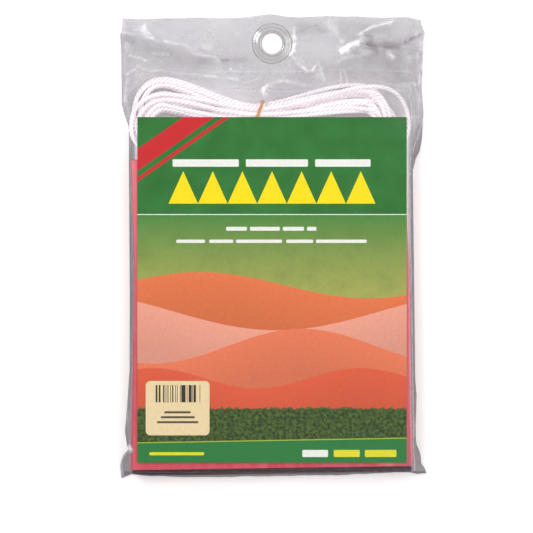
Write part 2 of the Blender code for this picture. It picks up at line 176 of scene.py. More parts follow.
class StageSettings(bpy.types.PropertyGroup):
    distance: length("Distance", "Height of the camera over the pouch", 4.5)
    floor: paint("Floor", "Colour of the floor", "F4F4F4")


class PackedTentSettings(bpy.types.PropertyGroup):
    pouch: PointerProperty(type=PouchSettings)
    tent: PointerProperty(type=TentSettings)
    line: PointerProperty(type=LineSettings)
    eyelet: PointerProperty(type=EyeletSettings)
    card: PointerProperty(type=CardSettings)
    stage: PointerProperty(type=StageSettings)


# Shared helpers


def add(tree, kind, links=None, **settings):
    """Adds a node of that kind with its settings, and links or sets its inputs."""
    made = tree.nodes.new("ShaderNode" + kind)
    for name, value in settings.items():
        setattr(made, name, value)
    for key, value in (links or {}).items():
        if isinstance(value, bpy.types.Node):
            value = value.outputs[0]
        if isinstance(value, bpy.types.NodeSocket):
            tree.links.new(value, made.inputs[key])
        else:
            made.inputs[key].default_value = value
    return made


def new_material(name):
    """An empty node tree in a new material, with its output."""
    made = bpy.data.materials.new(name)
    made.use_nodes = True
    made.node_tree.nodes.clear()
    return made, made.node_tree, add(made.node_tree, "OutputMaterial")


def finish_with(obj, material):
    """Gives an object that one material."""
    obj.data.materials.clear()
    obj.data.materials.append(material)


def mesh_object(name, points, faces, attributes):
    """A smooth mesh from arrays of points and faces, with its float attributes."""
    mesh = bpy.data.meshes.new(name)
    mesh.from_pydata([tuple(p) for p in points], [], [tuple(int(i) for i in f) for f in faces])
    mesh.validate()
    for key, values in attributes.items():
        made = mesh.attributes.new(key, "FLOAT", "POINT")
        made.data.foreach_set("value", np.asarray(values, np.float32).ravel())
    mesh.shade_smooth()
    obj = bpy.data.objects.new(name, mesh)
    bpy.context.collection.objects.link(obj)
    return obj


def grid_faces(rows, columns, closed_columns=False):
    """The quads of a grid whose points are numbered row by row."""
    last_column = columns if closed_columns else columns - 1
    i, j = np.meshgrid(np.arange(rows - 1), np.arange(last_column), indexing="ij")
    below, right = i + 1, (j + 1) % columns
    quads = (i * columns + j, i * columns + right, below * columns + right, below * columns + j)
    return np.stack([q.ravel() for q in quads], axis=1)


def eased(value):
    """A smooth step: 0 up to 0, 1 from 1 on, and level at both ends."""
    value = np.clip(value, 0, 1)
    return value * value * (3 - 2 * value)


def rounded(corners, radii, steps=4):
    """An open line in a plane, with each inner corner eased over its radius."""
    points = [Vector(corners[0])]
    for before, corner, after, radius in zip(
        corners, corners[1:], corners[2:], radii, strict=False
    ):
        corner = Vector(corner)
        back, on = Vector(before) - corner, Vector(after) - corner
        # Less than half of a side, so that two corners never meet
        start = corner + back.normalized() * min(radius, back.length * 0.49)
        end = corner + on.normalized() * min(radius, on.length * 0.49)
        for i in range(steps + 1):
            t = i / steps
            points.append(start.lerp(corner, t).lerp(corner.lerp(end, t), t))
    points.append(Vector(corners[-1]))
    return np.array([tuple(p) for p in points])


def resampled(line, count):
    """That many points at even steps along a line."""
    along = np.concatenate([[0], np.cumsum(np.linalg.norm(np.diff(line, axis=0), axis=1))])
    at = np.linspace(0, along[-1], count)
    return np.stack([np.interp(at, along, line[:, k]) for k in range(line.shape[1])], axis=1)


def noise_at(points, size, seed, octaves):
    """Smooth noise from about -1 to 1 at points, with its coarsest lumps of that size."""
    # A seed looks at another part of the same noise
    shift = Vector((seed * 7.3, seed * 3.1, seed * 5.7))
    return np.array(
        [
            noise.fractal(Vector(p) / size + shift, 1.0, 2.0, octaves, noise_basis="PERLIN_NEW")
            for p in points
        ]
    )


# Folded tent

# The tent's two sides in the photograph's pixels, from its top to its bottom
TENT_LEFT_SIDE = (
    (160, 130.6),
    (190, 131.3),
    (210, 131.8),
    (232, 133.4),
    (260, 133.8),
    (282, 134.7),
    (320, 133.7),
    (350, 132.8),
    (380, 131.8),
    (420, 131.4),
    (450, 129.8),
    (468, 130.8),
)
TENT_RIGHT_SIDE = (
    (160, 405.2),
    (212, 406.2),
    (222, 407.4),
    (260, 409.2),
    (290, 409.9),
    (340, 410.4),
    (390, 411.2),
    (450, 411.9),
    (460, 412.6),
)
# How strong the painted highlight along the tent's two sides is, by pixel row
LEFT_SIDE_HIGHLIGHT = ((160, 0.9), (220, 0.8), (260, 0.5), (300, 0.35), (440, 0.1))
RIGHT_SIDE_HIGHLIGHT = ((160, 1.0), (350, 0.9), (470, 0.7))
# How far its top slants down and its lower end up, from the left side to the right
TOP_SLANT = 0.016
END_SLANT = 0.0028
# Between the solid's lower end and the plies, and between two panels
END_CLEAR = 0.0003
PANEL_SLOT = 0.0003
# A ply's points along its length, as shares of it, with its two ends turned sharply
PLY_SHARES = (0, 0.0015, 0.33, 0.67, 0.9985, 1)
# How unevenly the plies end at the bottom and at the top
BOTTOM_FRAY = 0.001
TOP_FRAY = 0.0022


def tent_side(y, side):
    """How far the tent reaches at y, to the left (-1) or to the right (1)."""
    row = ORIGIN_PIXEL[1] - y / PIXEL
    pixels = TENT_RIGHT_SIDE if side > 0 else TENT_LEFT_SIDE
    return abs(pixel_line(pixels, row) - ORIGIN_PIXEL[0]) * PIXEL


def tent_share(x):
    """How far across the tent x is: 0 at its left side and 1 at its right side."""
    return x / (2 * TENT_HIGH.x) + 0.5


def tent_top(x):
    """Where the tent's upper end lies at x: it slants down to the right."""
    return TENT_HIGH.y - TOP_SLANT * tent_share(x)


def tent_end(x):
    """Where the tent's lower end lies at x: it slants up to the right."""
    return TENT_LOW.y + END_CLEAR + END_SLANT * tent_share(x)


def below_tent(x, y):
    """The painted shadow in the gap along the tent's lower end: 1 beside the end, 0 further out or
    above.
    """
    past = tent_end(x) - y
    within = 1 - eased((np.abs(x) - TENT_HIGH.x + 0.001) / 0.003)
    begun = eased((past + 0.001) / 0.001)
    done = eased((past - 0.0024) / 0.003)
    return within * begun * (1 - done)


def painted_side_highlight(points):
    """The painted highlight along the tent's sides at points: 0 over its middle, up to 1 at its
    sides.
    """
    row = ORIGIN_PIXEL[1] - points[:, 1] / PIXEL
    down = np.where(
        points[:, 0] > 0, pixel_line(RIGHT_SIDE_HIGHLIGHT, row), pixel_line(LEFT_SIDE_HIGHLIGHT, row)
    )
    fade = 0.0015
    return down * eased((np.abs(points[:, 0]) - CARD_HIGH.x + fade) / fade)


def tent_points(settings):
    """The tube's film: a closed run of plies, carried to and fro along the panels."""
    height = TENT_HIGH.z - TENT_LOW.z
    thick = (height - (settings.panels - 1) * PANEL_SLOT) / settings.panels
    pitch = thick + PANEL_SLOT
    reach = TENT_HIGH.x - pitch / 2 - thick / 2
    # Steps along a panel, and round the fold to the next
    straight, turns = 9, 5
    run = []  # each step's place across, its height, and its normal across and up
    for panel in range(settings.panels):
        level = TENT_LOW.z + thick / 2 + panel * pitch
        side = 1 if panel % 2 == 0 else -1
        for i in range(straight):
            run.append((side * reach * (2 * i / (straight - 1) - 1), level, 0.0, 1.0))
        if panel + 1 < settings.panels:
            for i in range(1, turns):
                angle = math.pi * i / turns
                run.append(
                    (
                        side * (reach + pitch / 2 * math.sin(angle)),
                        level + pitch / 2 * (1 - math.cos(angle)),
                        -side * math.sin(angle),
                        math.cos(angle),
                    )
                )
    across = []  # each point's share of the way up the panel, height in it, and ply
    for ply in range(settings.plies):
        at = thick * ((ply + 0.5) / settings.plies - 0.5)
        up = ply % 2 == 0
        for share in PLY_SHARES:
            across.append((share if up else 1 - share, at, ply))
    points = np.zeros((len(run), len(across), 3))
    jitter = np.random.default_rng(4).uniform(0, 1, (settings.panels, settings.plies, 2))
    for i, (x, z, nx, nz) in enumerate(run):
        panel = min(settings.panels - 1, i // (straight + turns - 1))
        for j, (share, at, ply) in enumerate(across):
            place = x + nx * at
            bottom = tent_end(place) + BOTTOM_FRAY * jitter[panel, ply, 0]
            top = tent_top(place) - TOP_FRAY * jitter[panel, ply, 1]
            y = bottom + (top - bottom) * share
            # Each panel's folds wander a little, in waves of about 100 and 36 mm
            pull = 0.0003 * math.sin(y * 61 + panel * 2.3)
            pull += 0.0002 * math.sin(y * 173 + panel * 4.1)
            squeeze = (tent_side(y, x) - pull) / TENT_HIGH.x
            points[i, j] = (place * squeeze, y, z + nz * at)
    return points


def tent_material(settings):
    """Thin polyethylene film, blown and folded: semi-gloss, with long folds 6 mm apart, paler where
    the folds draw it tight, and a net of fine creases 18 mm wide. A painted highlight lightens it
    along its two sides, past the card.
    """
    made, tree, output = new_material("coral_polyethylene_film")
    place = add(tree, "TexCoord").outputs["Object"]
    stretched = add(tree, "Mapping", {"Vector": place, "Scale": (1, 0.35, 1)})
    folds = add(tree, "TexNoise", {"Vector": stretched, "Scale": 160, "Detail": 4})
    crumple = add(tree, "TexVoronoi", {"Vector": place, "Scale": 55}, feature="DISTANCE_TO_EDGE")
    lines = add(
        tree,
        "MapRange",
        {"Value": crumple.outputs["Distance"], "From Max": 0.06, "To Min": 1, "To Max": 0},
    )
    crease_marks_and_painted_light = add(tree, "Math", {0: lines, 1: 0.08}, operation="MULTIPLY")
    relief = add(tree, "Math", {0: folds, 1: crease_marks_and_painted_light}, operation="ADD")
    shade = add(tree, "MapRange", {"Value": relief, "From Min": 0.35, "From Max": 0.85})
    colour = add(
        tree,
        "Mix",
        {0: shade, 6: (*settings.film, 1), 7: (*settings.fold, 1)},
        data_type="RGBA",
    )
    # Painted highlight along the two sides, laid over the film's colour
    side_highlight = add(tree, "Attribute", attribute_name="side_highlight").outputs["Fac"]
    paler = add(
        tree,
        "Mix",
        {0: side_highlight, 6: colour.outputs[2], 7: (*settings.side, 1)},
        data_type="RGBA",
    )
    bump = add(tree, "Bump", {"Height": relief, "Strength": 0.55, "Distance": 0.0006})
    shader = add(
        tree,
        "BsdfPrincipled",
        {
            "Base Color": paler.outputs[2],
            "Roughness": 0.3,
            "IOR": 1.51,
            "Normal": bump,
        },
    )
    tree.links.new(shader.outputs[0], output.inputs[0])
    return made


class PACKEDTENT_OT_folded_tent(bpy.types.Operator):
    """Makes the folded tube of coral film"""

    bl_idname = "packed_tent.folded_tent"
    bl_label = "Folded Tent"

    def execute(self, context):
        settings = context.scene.packed_tent.tent
        points = tent_points(settings)
        rows, columns = points.shape[:2]
        faces = grid_faces(rows, columns, closed_columns=True)
        points = points.reshape(-1, 3)
        tent = mesh_object("folded_tent_film", points, faces, {"side_highlight": painted_side_highlight(points)})
        finish_with(tent, tent_material(settings))
        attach(tent, "pouch")
        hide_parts("tent_film")
        return {"FINISHED"}


# Guy line

# How it is wound: loops side by side in layers, which lie on each other and lean down
LAYERS = 4
LOOPS_PER_LAYER = 3.5
LOOP_PITCH = 0.00395
LAYER_PITCH = 0.0036
LAYER_LEAN = 0.0007
# In the humps the loops crowd by this share, and every other layer drops by this much
HUMP_CROWDING = 0.18
HUMP_DROP = 0.012
# The turns whose outer loop hangs loose, by how much, and the turns that it takes
LOOSE_LOOPS = ((13.28, 1.0), (6.28, 0.45))
LOOSE_TURNS = 0.19
# Passes that ease the wound line, then the most that push its turns clear of each other
EASING_PASSES = 14
CLEARING_PASSES = 90
CLEARANCE = 1.03  # of the cord's diameter, between the middles of two turns
STRAIGHTENING = 1.6
TIGHTEST_BEND = 3  # diameters
HANK_REACH = 0.0968  # of the cord's middle, to either side
LINE_GAP = 0.0004  # between the cord and what it rests against
# The middle and the size of the outermost loop, and its outline in shares of half that size,
# from the right end over the top, the left end and the bottom
HANK_SHIFT = -0.0008
HANK_Y = 0.0868
HANK_LENGTH = 0.189
HANK_HEIGHT = 0.058
HANK_OUTLINE_SHARES = (
    (0.892, -0.13),
    (0.83, 0.58),
    (0.645, 0.85),
    (0.3, 0.66),
    (-0.13, 0.37),
    (-0.5, 0.82),
    (-0.8, 1.15),
    (-0.985, 0.82),
    (-1.035, 0.11),
    (-0.94, -0.55),
    (-0.7, -0.82),
    (-0.13, -0.7),
    (0.3, -0.9),
    (0.622, -1.0),
    (0.815, -0.77),
)
# The winding starts at the waist's lower point of that outline
WAIST_BELOW = 11
WAIST_X = HANK_SHIFT + HANK_OUTLINE_SHARES[WAIST_BELOW][0] * HANK_LENGTH / 2
WAIST_FADE = 0.036  # how fast the humps begin beside it


def hank_outline(turn):
    """The middle of the outermost loop at a share of a turn, on a closed smooth curve."""
    shares = HANK_OUTLINE_SHARES
    place = (turn % 1) * len(shares)
    first = int(place)
    t = place - first
    a, b, c, d = (np.array(shares[(first + k) % len(shares)], float) for k in (-1, 0, 1, 2))
    share = 0.5 * (
        2 * b + (c - a) * t + (2 * a - 5 * b + 4 * c - d) * t**2 + (3 * b - a - 3 * c + d) * t**3
    )
    return np.array(
        (HANK_SHIFT + share[0] * HANK_LENGTH / 2, HANK_Y + share[1] * HANK_HEIGHT / 2)
    )


def every_other(layer):
    """1 in the second layer and the fourth, 0 in the first and the third."""
    return 1 - np.abs(layer % 2 - 1)


def hank_point(turns, diameter):
    """The middle of the cord after that many turns, with how far out in its hump it is, its
    layer and how loose it is.
    """
    spot = WAIST_BELOW / len(HANK_OUTLINE_SHARES) + turns
    step = 0.001
    along = hank_outline(spot + step) - hank_outline(spot - step)
    inward = np.array((-along[1], along[0])) / np.linalg.norm(along)
    sweep = turns / LOOPS_PER_LAYER
    back = sweep % 2
    depth = LOOP_PITCH * LOOPS_PER_LAYER * min(back, 2 - back)
    nearest = max(1, min(LAYERS - 1, round(sweep)))
    layer = nearest - 1 + float(eased((sweep - nearest) * LOOPS_PER_LAYER * 1.3 + 0.5))
    loose = sum(
        amount * math.exp(-(((turns - middle) / LOOSE_TURNS) ** 4))
        for middle, amount in LOOSE_LOOPS
    )
    outer = hank_outline(spot)
    hump = 1 - math.exp(-(((outer[0] - WAIST_X) / WAIST_FADE) ** 2))
    # The upper runs of the left hump fan out, most in every other layer
    fan = float(eased((outer[1] - HANK_Y + 0.016) / 0.042) * eased((WAIST_X - outer[0]) / 0.03))
    spread = 1 - HUMP_CROWDING * hump * (1 - fan) + (0.12 + 0.3 * every_other(layer)) * fan
    flat = outer + inward * depth * spread * (1 - loose)
    height = HANK_LOW.z + diameter / 2 + LAYER_PITCH * layer
    return (flat[0], flat[1] - LAYER_LEAN * layer, height, hump, layer, loose)


def hank_route(diameter):
    """The cord's centreline: the wound loops, fanned out in the humps and pushed clear."""
    per_loop = 130
    count = round(LAYERS * LOOPS_PER_LAYER * per_loop)
    table = np.array([hank_point(i / per_loop, diameter) for i in range(count + 1)])
    line, hump, layer, loose = table[:, :3].copy(), table[:, 3], table[:, 4], table[:, 5]
    turns = np.arange(count + 1) / per_loop
    upper = np.clip((line[:, 1] - HANK_LOW.y) / (HANK_HIGH.y - HANK_LOW.y), 0, 1)
    line[:, 1] -= HUMP_DROP * every_other(layer) * hump * upper * (1 - loose)
    # The last loop hangs loose at the right, past the others
    tip = eased((line[:, 0] - 0.02) / 0.063)
    line[:, 0] += 0.0108 * tip * loose
    line[:, 1] += 0.002 * tip * loose * upper
    # Each run leans a little its own way
    chance = np.random.default_rng(12)
    runs = 30
    lean = np.interp(turns * 2, np.arange(runs), chance.uniform(-1, 1, runs))
    line[:, 1] += 0.0034 * lean * hump * np.clip(upper + 0.3, 0, 1)
    # It also wanders along, across and in height by a millimetre or two
    wander = np.array([(t * 0.9, t * 0.37, 0.0) for t in turns])
    line[:, 1] += 0.0024 * noise_at(wander, 0.13, 3, 1) * hump
    line[:, 0] += 0.0016 * noise_at(wander, 0.33, 5, 1) * hump
    line[:, 2] += 0.0012 * noise_at(wander, 0.17, 8, 1) * hump
    for _ in range(EASING_PASSES):
        line[1:-1] = (line[:-2] + 2 * line[1:-1] + line[2:]) / 4
    wound = line.copy()
    # The band holds the waist as it was wound
    free = eased((np.abs(line[:, 0] - WAIST_X) - 0.006) / 0.01)[:, None]
    step = np.linalg.norm(np.diff(line, axis=0), axis=1).mean()
    skip = int(diameter * 5 / step)  # steps to either side that are the same turn
    clear = diameter * CLEARANCE
    # How far a point lies off the chord of the points two steps away, at the tightest bend
    tight_bend = (2 * step) ** 2 / (2 * TIGHTEST_BEND * diameter)
    low = HANK_LOW.z + diameter / 2
    high = CARD_LOW.z - diameter / 2 - LINE_GAP
    for _ in range(CLEARING_PASSES):
        tree = kdtree.KDTree(len(line))
        for i, p in enumerate(line):
            tree.insert(p, i)
        tree.balance()
        push = np.zeros_like(line)
        worst = 0
        for i, p in enumerate(line):
            for other, j, distance in tree.find_range(p, clear):
                if abs(i - j) > skip and distance > 1e-7:
                    short = clear - distance
                    push[i] += (p - np.array(other)) / distance * short * 0.5
                    worst = max(worst, short)
        for _ in range(3):
            push[1:-1] = (push[:-2] + 2 * push[1:-1] + push[2:]) / 4
        line += push * free * 0.6
        bent = np.zeros_like(line)
        bent[2:-2] = (line[:-4] + line[4:]) / 2 - line[2:-2]
        bent[2] = bent[-3] = 0
        tight = np.linalg.norm(bent, axis=1) / tight_bend
        straighten = 0.01 + STRAIGHTENING * np.clip(2 * tight - 1.7, 0, 1)
        line += bent * straighten[:, None] * free
        line += (wound - line) * 0.004 * free
        line[:, 1] = np.maximum(line[:, 1], tent_top(line[:, 0]) + diameter / 2 + LINE_GAP)
        line[:, 0] = np.clip(line[:, 0], -HANK_REACH, HANK_REACH)
        line[:, 2] = np.clip(line[:, 2], low, high)
        if worst < diameter * 0.05:
            break
    return line


def cord_rings(line, settings):
    """The surface of a three-strand twisted cord along a line, and its centres."""
    step = 0.00075
    total = np.linalg.norm(np.diff(line, axis=0), axis=1).sum()
    centres = resampled(line, int(total / step))
    for _ in range(6):
        centres[1:-1] = (centres[:-2] + 2 * centres[1:-1] + centres[2:]) / 4
    ahead = np.gradient(centres, axis=0)
    ahead /= np.linalg.norm(ahead, axis=1)[:, None]
    flat = np.cross(ahead, (0, 0, 1))
    flat /= np.linalg.norm(flat, axis=1)[:, None]
    up = np.cross(flat, ahead)
    sides = 12
    place = np.arange(sides) / sides
    along = np.arange(len(centres)) * step
    angle = math.tau * (place[None, :] + along[:, None] / settings.lay)
    # 1 on the back of each of the three strands and 0 in the grooves between them
    strand = np.broadcast_to(np.abs(np.cos(1.5 * math.tau * place)), angle.shape)
    radius = settings.diameter / 2 * (0.72 + 0.3 * strand**0.6)
    points = centres[:, None] + radius[..., None] * (
        np.cos(angle)[..., None] * flat[:, None] + np.sin(angle)[..., None] * up[:, None]
    )
    run = np.broadcast_to(along[:, None], strand.shape)
    return points, centres, strand, run


def cord_material(settings):
    """Twisted polyester yarn: matt fibres that scatter light through the strands, painted shade
    between the strands, and a faint painted glow in the cord's own colour. The fibres are 0.4 mm
    wide here, coarser than the real ones, so that they show, and the fuzz bridges the grooves in
    4 mm patches.
    """
    made, tree, output = new_material("white_twisted_polyester")
    strand = add(tree, "Attribute", attribute_name="strand").outputs["Fac"]
    run = add(tree, "Attribute", attribute_name="run").outputs["Fac"]
    place = add(tree, "TexCoord").outputs["Object"]
    fibre = add(tree, "TexNoise", {"Vector": place, "Scale": 2600, "Detail": 2})
    soil = add(tree, "TexNoise", {"Vector": place, "Scale": 70, "Detail": 2})
    # Painted shade in the grooves between the strands, lifted where the fuzz lies
    groove_shade = add(tree, "MapRange", {"Value": strand, "From Min": 0.05, "From Max": 0.75})
    fuzz = add(tree, "TexNoise", {"Vector": place, "Scale": 260, "Detail": 2})
    fuzzy = add(tree, "MapRange", {"Value": fuzz, "From Min": 0.42, "From Max": 0.85})
    groove_shade = add(tree, "Math", {0: groove_shade, 1: fuzzy}, operation="MAXIMUM")
    colour = add(
        tree,
        "Mix",
        {0: groove_shade, 6: (*settings.groove_shade, 1), 7: (*settings.cord, 1)},
        data_type="RGBA",
    )
    faint = add(tree, "MapRange", {"Value": soil, "To Min": 0.93, "To Max": 1.03})
    final = add(
        tree,
        "Mix",
        {0: 1.0, 6: colour.outputs[2], 7: faint},
        data_type="RGBA",
        blend_type="MULTIPLY",
    )
    # Yarns lie across the strand, 1.2 mm apart
    yarn_turn = add(tree, "Math", {0: run, 1: 5200.0}, operation="MULTIPLY")
    yarn = add(tree, "Math", {0: yarn_turn}, operation="SINE")
    rough = add(tree, "Math", {0: yarn, 1: fibre}, operation="ADD")
    bump = add(tree, "Bump", {"Height": rough, "Strength": 0.35, "Distance": 0.0002})
    shader = add(
        tree,
        "BsdfPrincipled",
        {
            "Base Color": final.outputs[2],
            "Roughness": 0.62,
            "Subsurface Weight": 0.8,
            "Subsurface Radius": (1, 0.95, 0.97),
            "Subsurface Scale": 0.002,
            # Painted glow: the cord emits a little light in its own colour
            "Emission Color": (*settings.cord, 1),
            "Emission Strength": 0.15,
            "Normal": bump,
        },
    )
    tree.links.new(shader.outputs[0], output.inputs[0])
    return made


def band_material(settings):
    """Cut natural rubber: matt, with a bloom of dust in 1 mm specks."""
    made, tree, output = new_material("tan_rubber")
    place = add(tree, "TexCoord").outputs["Object"]
    dust = add(tree, "TexNoise", {"Vector": place, "Scale": 900, "Detail": 4})
    shade = add(tree, "MapRange", {"Value": dust, "To Min": 0.8, "To Max": 1.15})
    colour = add(
        tree,
        "Mix",
        {0: 1.0, 6: (*settings.band, 1), 7: shade},
        data_type="RGBA",
        blend_type="MULTIPLY",
    )
    bump = add(tree, "Bump", {"Height": dust, "Strength": 0.2, "Distance": 0.0001})
    shader = add(
        tree,
        "BsdfPrincipled",
        {"Base Color": colour.outputs[2], "Roughness": 0.55, "Normal": bump},
    )
    tree.links.new(shader.outputs[0], output.inputs[0])
    return made


class PACKEDTENT_OT_guy_line(bpy.types.Operator):
    """Makes the guy line, wound into a hank, and finishes its rubber band"""

    bl_idname = "packed_tent.guy_line"
    bl_label = "Guy Line"

    def execute(self, context):
        settings = context.scene.packed_tent.line
        line = hank_route(settings.diameter)
        points, centres, strand, run = cord_rings(line, settings)
        rows, columns = points.shape[:2]
        faces = grid_faces(rows, columns, closed_columns=True)[:, ::-1]
        vertices = np.concatenate([points.reshape(-1, 3), centres[[0, -1]]])
        first, last = rows * columns, rows * columns + 1
        caps = []
        for j in range(columns):
            k = (j + 1) % columns
            caps.append((first, j, k))
            caps.append((last, (rows - 1) * columns + k, (rows - 1) * columns + j))
        faces = [tuple(f) for f in faces] + caps
        ends = [1.0, 1.0]
        attributes = {
            "strand": np.concatenate([strand.ravel(), ends]),
            "run": np.concatenate([run.ravel(), ends]),
        }
        cord = mesh_object("guy_line_hank", vertices, faces, attributes)
        finish_with(cord, cord_material(settings))
        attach(cord, "pouch")
        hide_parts("cord_hank")
        finish_with(frame["nodes"]["rubber_band"], band_material(settings))
        return {"FINISHED"}


# Clear pouch

# The front film on the seam and the side welds, and where it climbs from the seam
FOOT_Z = FILM + FILM_GAP
WALL_Y = SEAM_Y + 0.0049
# How far below the crease the front film starts to come down, and both start to lift
SLOPE = 0.011
LIFT = 0.012
# The front film's side walls stand steeply beside the tent, close to it and past the card
TENT_CLEAR = 0.0005
CARD_CLEAR = 0.0012
LEAST_WELD = 0.0008
WALL_LEAN = 0.0002
# Beside the hank their feet stand this much further out, and they lean this much more
HANK_CLEAR = 0.0072
HANK_LEAN = 0.0064
# How far past the card at the top of its travel the film is held level
HELD_PAST = 0.0015

# The film's edges and the top of the hank's humps, in the photograph's pixels
LEFT_EDGE = (
    (17, 122),
    (30, 121),
    (33, 119.6),
    (45, 120.5),
    (80, 121),
    (104, 121.2),
    (114, 124),
    (127, 128.6),
    (165, 128.4),
    (300, 129.2),
    (370, 129),
    (400, 127),
    (432, 124.4),
    (446, 126.5),
    (450, 128.5),
    (456, 122),
    (466, 119.4),
    (478, 121),
)
RIGHT_EDGE = (
    (18, 421.5),
    (28, 425),
    (45, 423.2),
    (90, 422.6),
    (112, 424),
    (138, 422.6),
    (150, 420.5),
    (158, 416.5),
    (170, 413.4),
    (300, 415),
    (380, 415.9),
    (395, 417.2),
    (430, 416.4),
    (443, 416.8),
    (455, 421.2),
    (464, 422),
    (470, 426),
    (476, 427),
)
TOP_EDGE = (
    (118, 17.5),
    (135, 18.2),
    (158, 18),
    (190, 16.5),
    (245, 17),
    (258, 14.8),
    (270, 13.2),
    (284, 15.4),
    (300, 17),
    (330, 15),
    (355, 15.6),
    (385, 17),
    (408, 16.4),
    (420, 19.5),
    (428, 22),
)
BOTTOM_EDGE = (
    (116, 471),
    (121, 479),
    (131, 475),
    (150, 477.2),
    (200, 478),
    (290, 477),
    (340, 475.8),
    (385, 473.8),
    (408, 472.6),
    (418, 475),
    (428, 474),
)
HANK_CREST = (
    (124, 116),
    (128, 100),
    (134, 87),
    (144, 78),
    (158, 74.6),
    (176, 76.5),
    (195, 84),
    (215, 93),
    (236, 99.5),
    (254, 103),
    (276, 101),
    (300, 95.5),
    (320, 89.5),
    (340, 84.5),
    (360, 82.6),
    (384, 86),
    (399, 95),
    (410, 112),
    (420, 124),
)
# Hard creases and broad strokes: their pixels, about their width and height in millimetres,
# and the strength of the painted glint along them, with painted shade where that is below 0
CREASES = (
    (((121, 31), (140, 35), (160, 40), (185, 45), (195, 53), (215, 56)), 1.3, 0.9, 0.5),
    (((129, 55), (138, 57), (145, 60)), 0.8, 0.7, 0.9),
    (((152, 52), (168, 54)), 0.9, 0.4, 0.3),
    (((128, 72), (138, 66), (150, 70), (185, 73), (215, 76), (238, 79)), 1.1, 0.8, 0.65),
    (((238, 79), (242, 82), (256, 79)), 0.9, 0.8, 0.35),
    (((200, 48), (222, 60), (243, 60)), 1.4, -0.9, 0.0),
    (((215, 20), (217, 12)), 0.8, 0.6, 0.5),
    (((235, 33), (252, 28)), 1.2, 0.5, 0.15),
    (((294, 29), (294.5, 50)), 1.5, 1.1, 1.0),
    (((293.5, 36), (295, 41)), 2.6, 0.8, 1.0),
    (((290, 52), (298, 63), (307, 71)), 1.3, 0.9, 0.7),
    (((312, 70), (318, 62), (324, 79)), 1.0, 1.0, 0.6),
    (((294, 34), (308, 27), (320, 24)), 1.1, -0.8, 0.0),
    (((296, 37), (312, 35), (335, 34)), 0.8, 0.6, 0.3),
    (((325, 22), (336, 32), (343, 42)), 1.2, 0.9, 0.35),
    (((342, 52), (349, 45), (358, 41)), 2.0, 1.4, 1.0),
    (((360, 33), (372, 26), (391, 21)), 1.4, 1.0, 0.9),
    (((389.5, 53), (393, 56)), 1.7, 1.1, 1.7),
    (((358, 40), (375, 46), (398, 47), (420, 36)), 1.6, -1.3, 0.0),
    (((364, 33), (384, 42), (404, 42), (422, 34)), 1.4, -1.0, 0.0),
    (((341, 86), (341, 70), (344, 69), (348, 84)), 0.7, 0.8, 0.45),
    (((262, 78), (268, 72), (278, 64)), 1.2, -1.1, 0.0),
    (((263, 92), (268, 84), (282, 80), (305, 84)), 1.2, 1.0, 0.35),
    (((264, 95), (263, 88)), 1.0, 0.9, 0.9),
    (((283, 52), (320, 52), (345, 50)), 0.9, 0.5, 0.15),
    (((338, 62), (345, 57), (362, 55)), 1.1, 0.8, 0.3),
    (((409, 57), (411, 62)), 1.1, 0.7, 0.6),
    (((412, 82), (416, 84)), 1.1, 0.7, 0.8),
    (((402, 84), (408, 84)), 0.9, 0.6, 0.4),
    (((418, 52), (420, 90), (419, 118)), 1.2, 0.9, 0.3),
    (((124, 45), (124.5, 72), (125, 100)), 1.0, 0.8, 0.3),
    (((127, 74), (126, 100), (131, 122)), 1.0, 0.8, 0.25),
    (((414, 100), (415, 130), (410, 160)), 1.1, 0.8, 0.2),
    (((126, 404), (128, 430), (130, 448)), 0.9, 0.7, 0.4),
    (((415, 400), (414, 430), (416, 446)), 0.9, 0.7, 0.1),
    (((121, 458), (130, 451)), 0.9, 0.6, 0.5),
    (((129.5, 447.5), (132, 451)), 1.3, 0.5, 1.6),
    (((120.5, 458), (120, 468), (122, 476)), 1.6, 0.4, 0.5),
    (((414, 449), (423, 466)), 0.9, 0.6, 0.2),
    (((122, 25), (150, 27), (178, 36), (205, 46)), 5.5, 0.0, 0.3),
    (((121, 24), (146, 30), (172, 39)), 4.5, 0.0, 0.35),
    (((126, 42), (160, 51), (200, 62)), 8.0, 0.0, -0.2),
    (((188, 28), (202, 47), (214, 50)), 6.0, 0.0, 0.2),
    (((206, 24), (212, 42)), 5.0, 0.0, 0.16),
    (((325, 24), (337, 37), (341, 47)), 3.0, 0.0, 0.3),
    (((342, 50), (350, 45), (357, 42)), 2.6, 0.6, 0.8),
    (((298, 56), (308, 69)), 2.4, 0.5, 0.4),
    (((311, 64), (319, 76)), 2.4, 0.5, 0.4),
    (((266, 88), (274, 80), (296, 82)), 3.5, 0.0, 0.25),
    (((232, 78), (240, 68), (258, 66)), 4.0, 0.0, 0.12),
    (((372, 41), (392, 45), (414, 37)), 3.5, 0.0, -0.22),
    (((355, 50), (385, 52), (418, 48)), 7.0, 0.0, -0.2),
    (((375, 62), (395, 75), (414, 110)), 16.0, 0.0, -0.3),
    (((300, 30), (345, 27), (385, 31)), 7.0, 0.0, -0.2),
    (((205, 58), (232, 61), (250, 62)), 5.0, 0.0, -0.14),
    (((300, 78), (322, 66), (350, 70)), 8.0, 0.0, -0.2),
)


def pixel_line(pixels, x):
    """The second pixel coordinate of a line of pixels at the first, which rises."""
    return np.interp(x, *zip(*pixels, strict=True))


def edge_x(y, side):
    """The film's edge at y, to the left (-1) or to the right (1)."""
    row = ORIGIN_PIXEL[1] - y / PIXEL
    return (pixel_line(RIGHT_EDGE if side > 0 else LEFT_EDGE, row) - ORIGIN_PIXEL[0]) * PIXEL


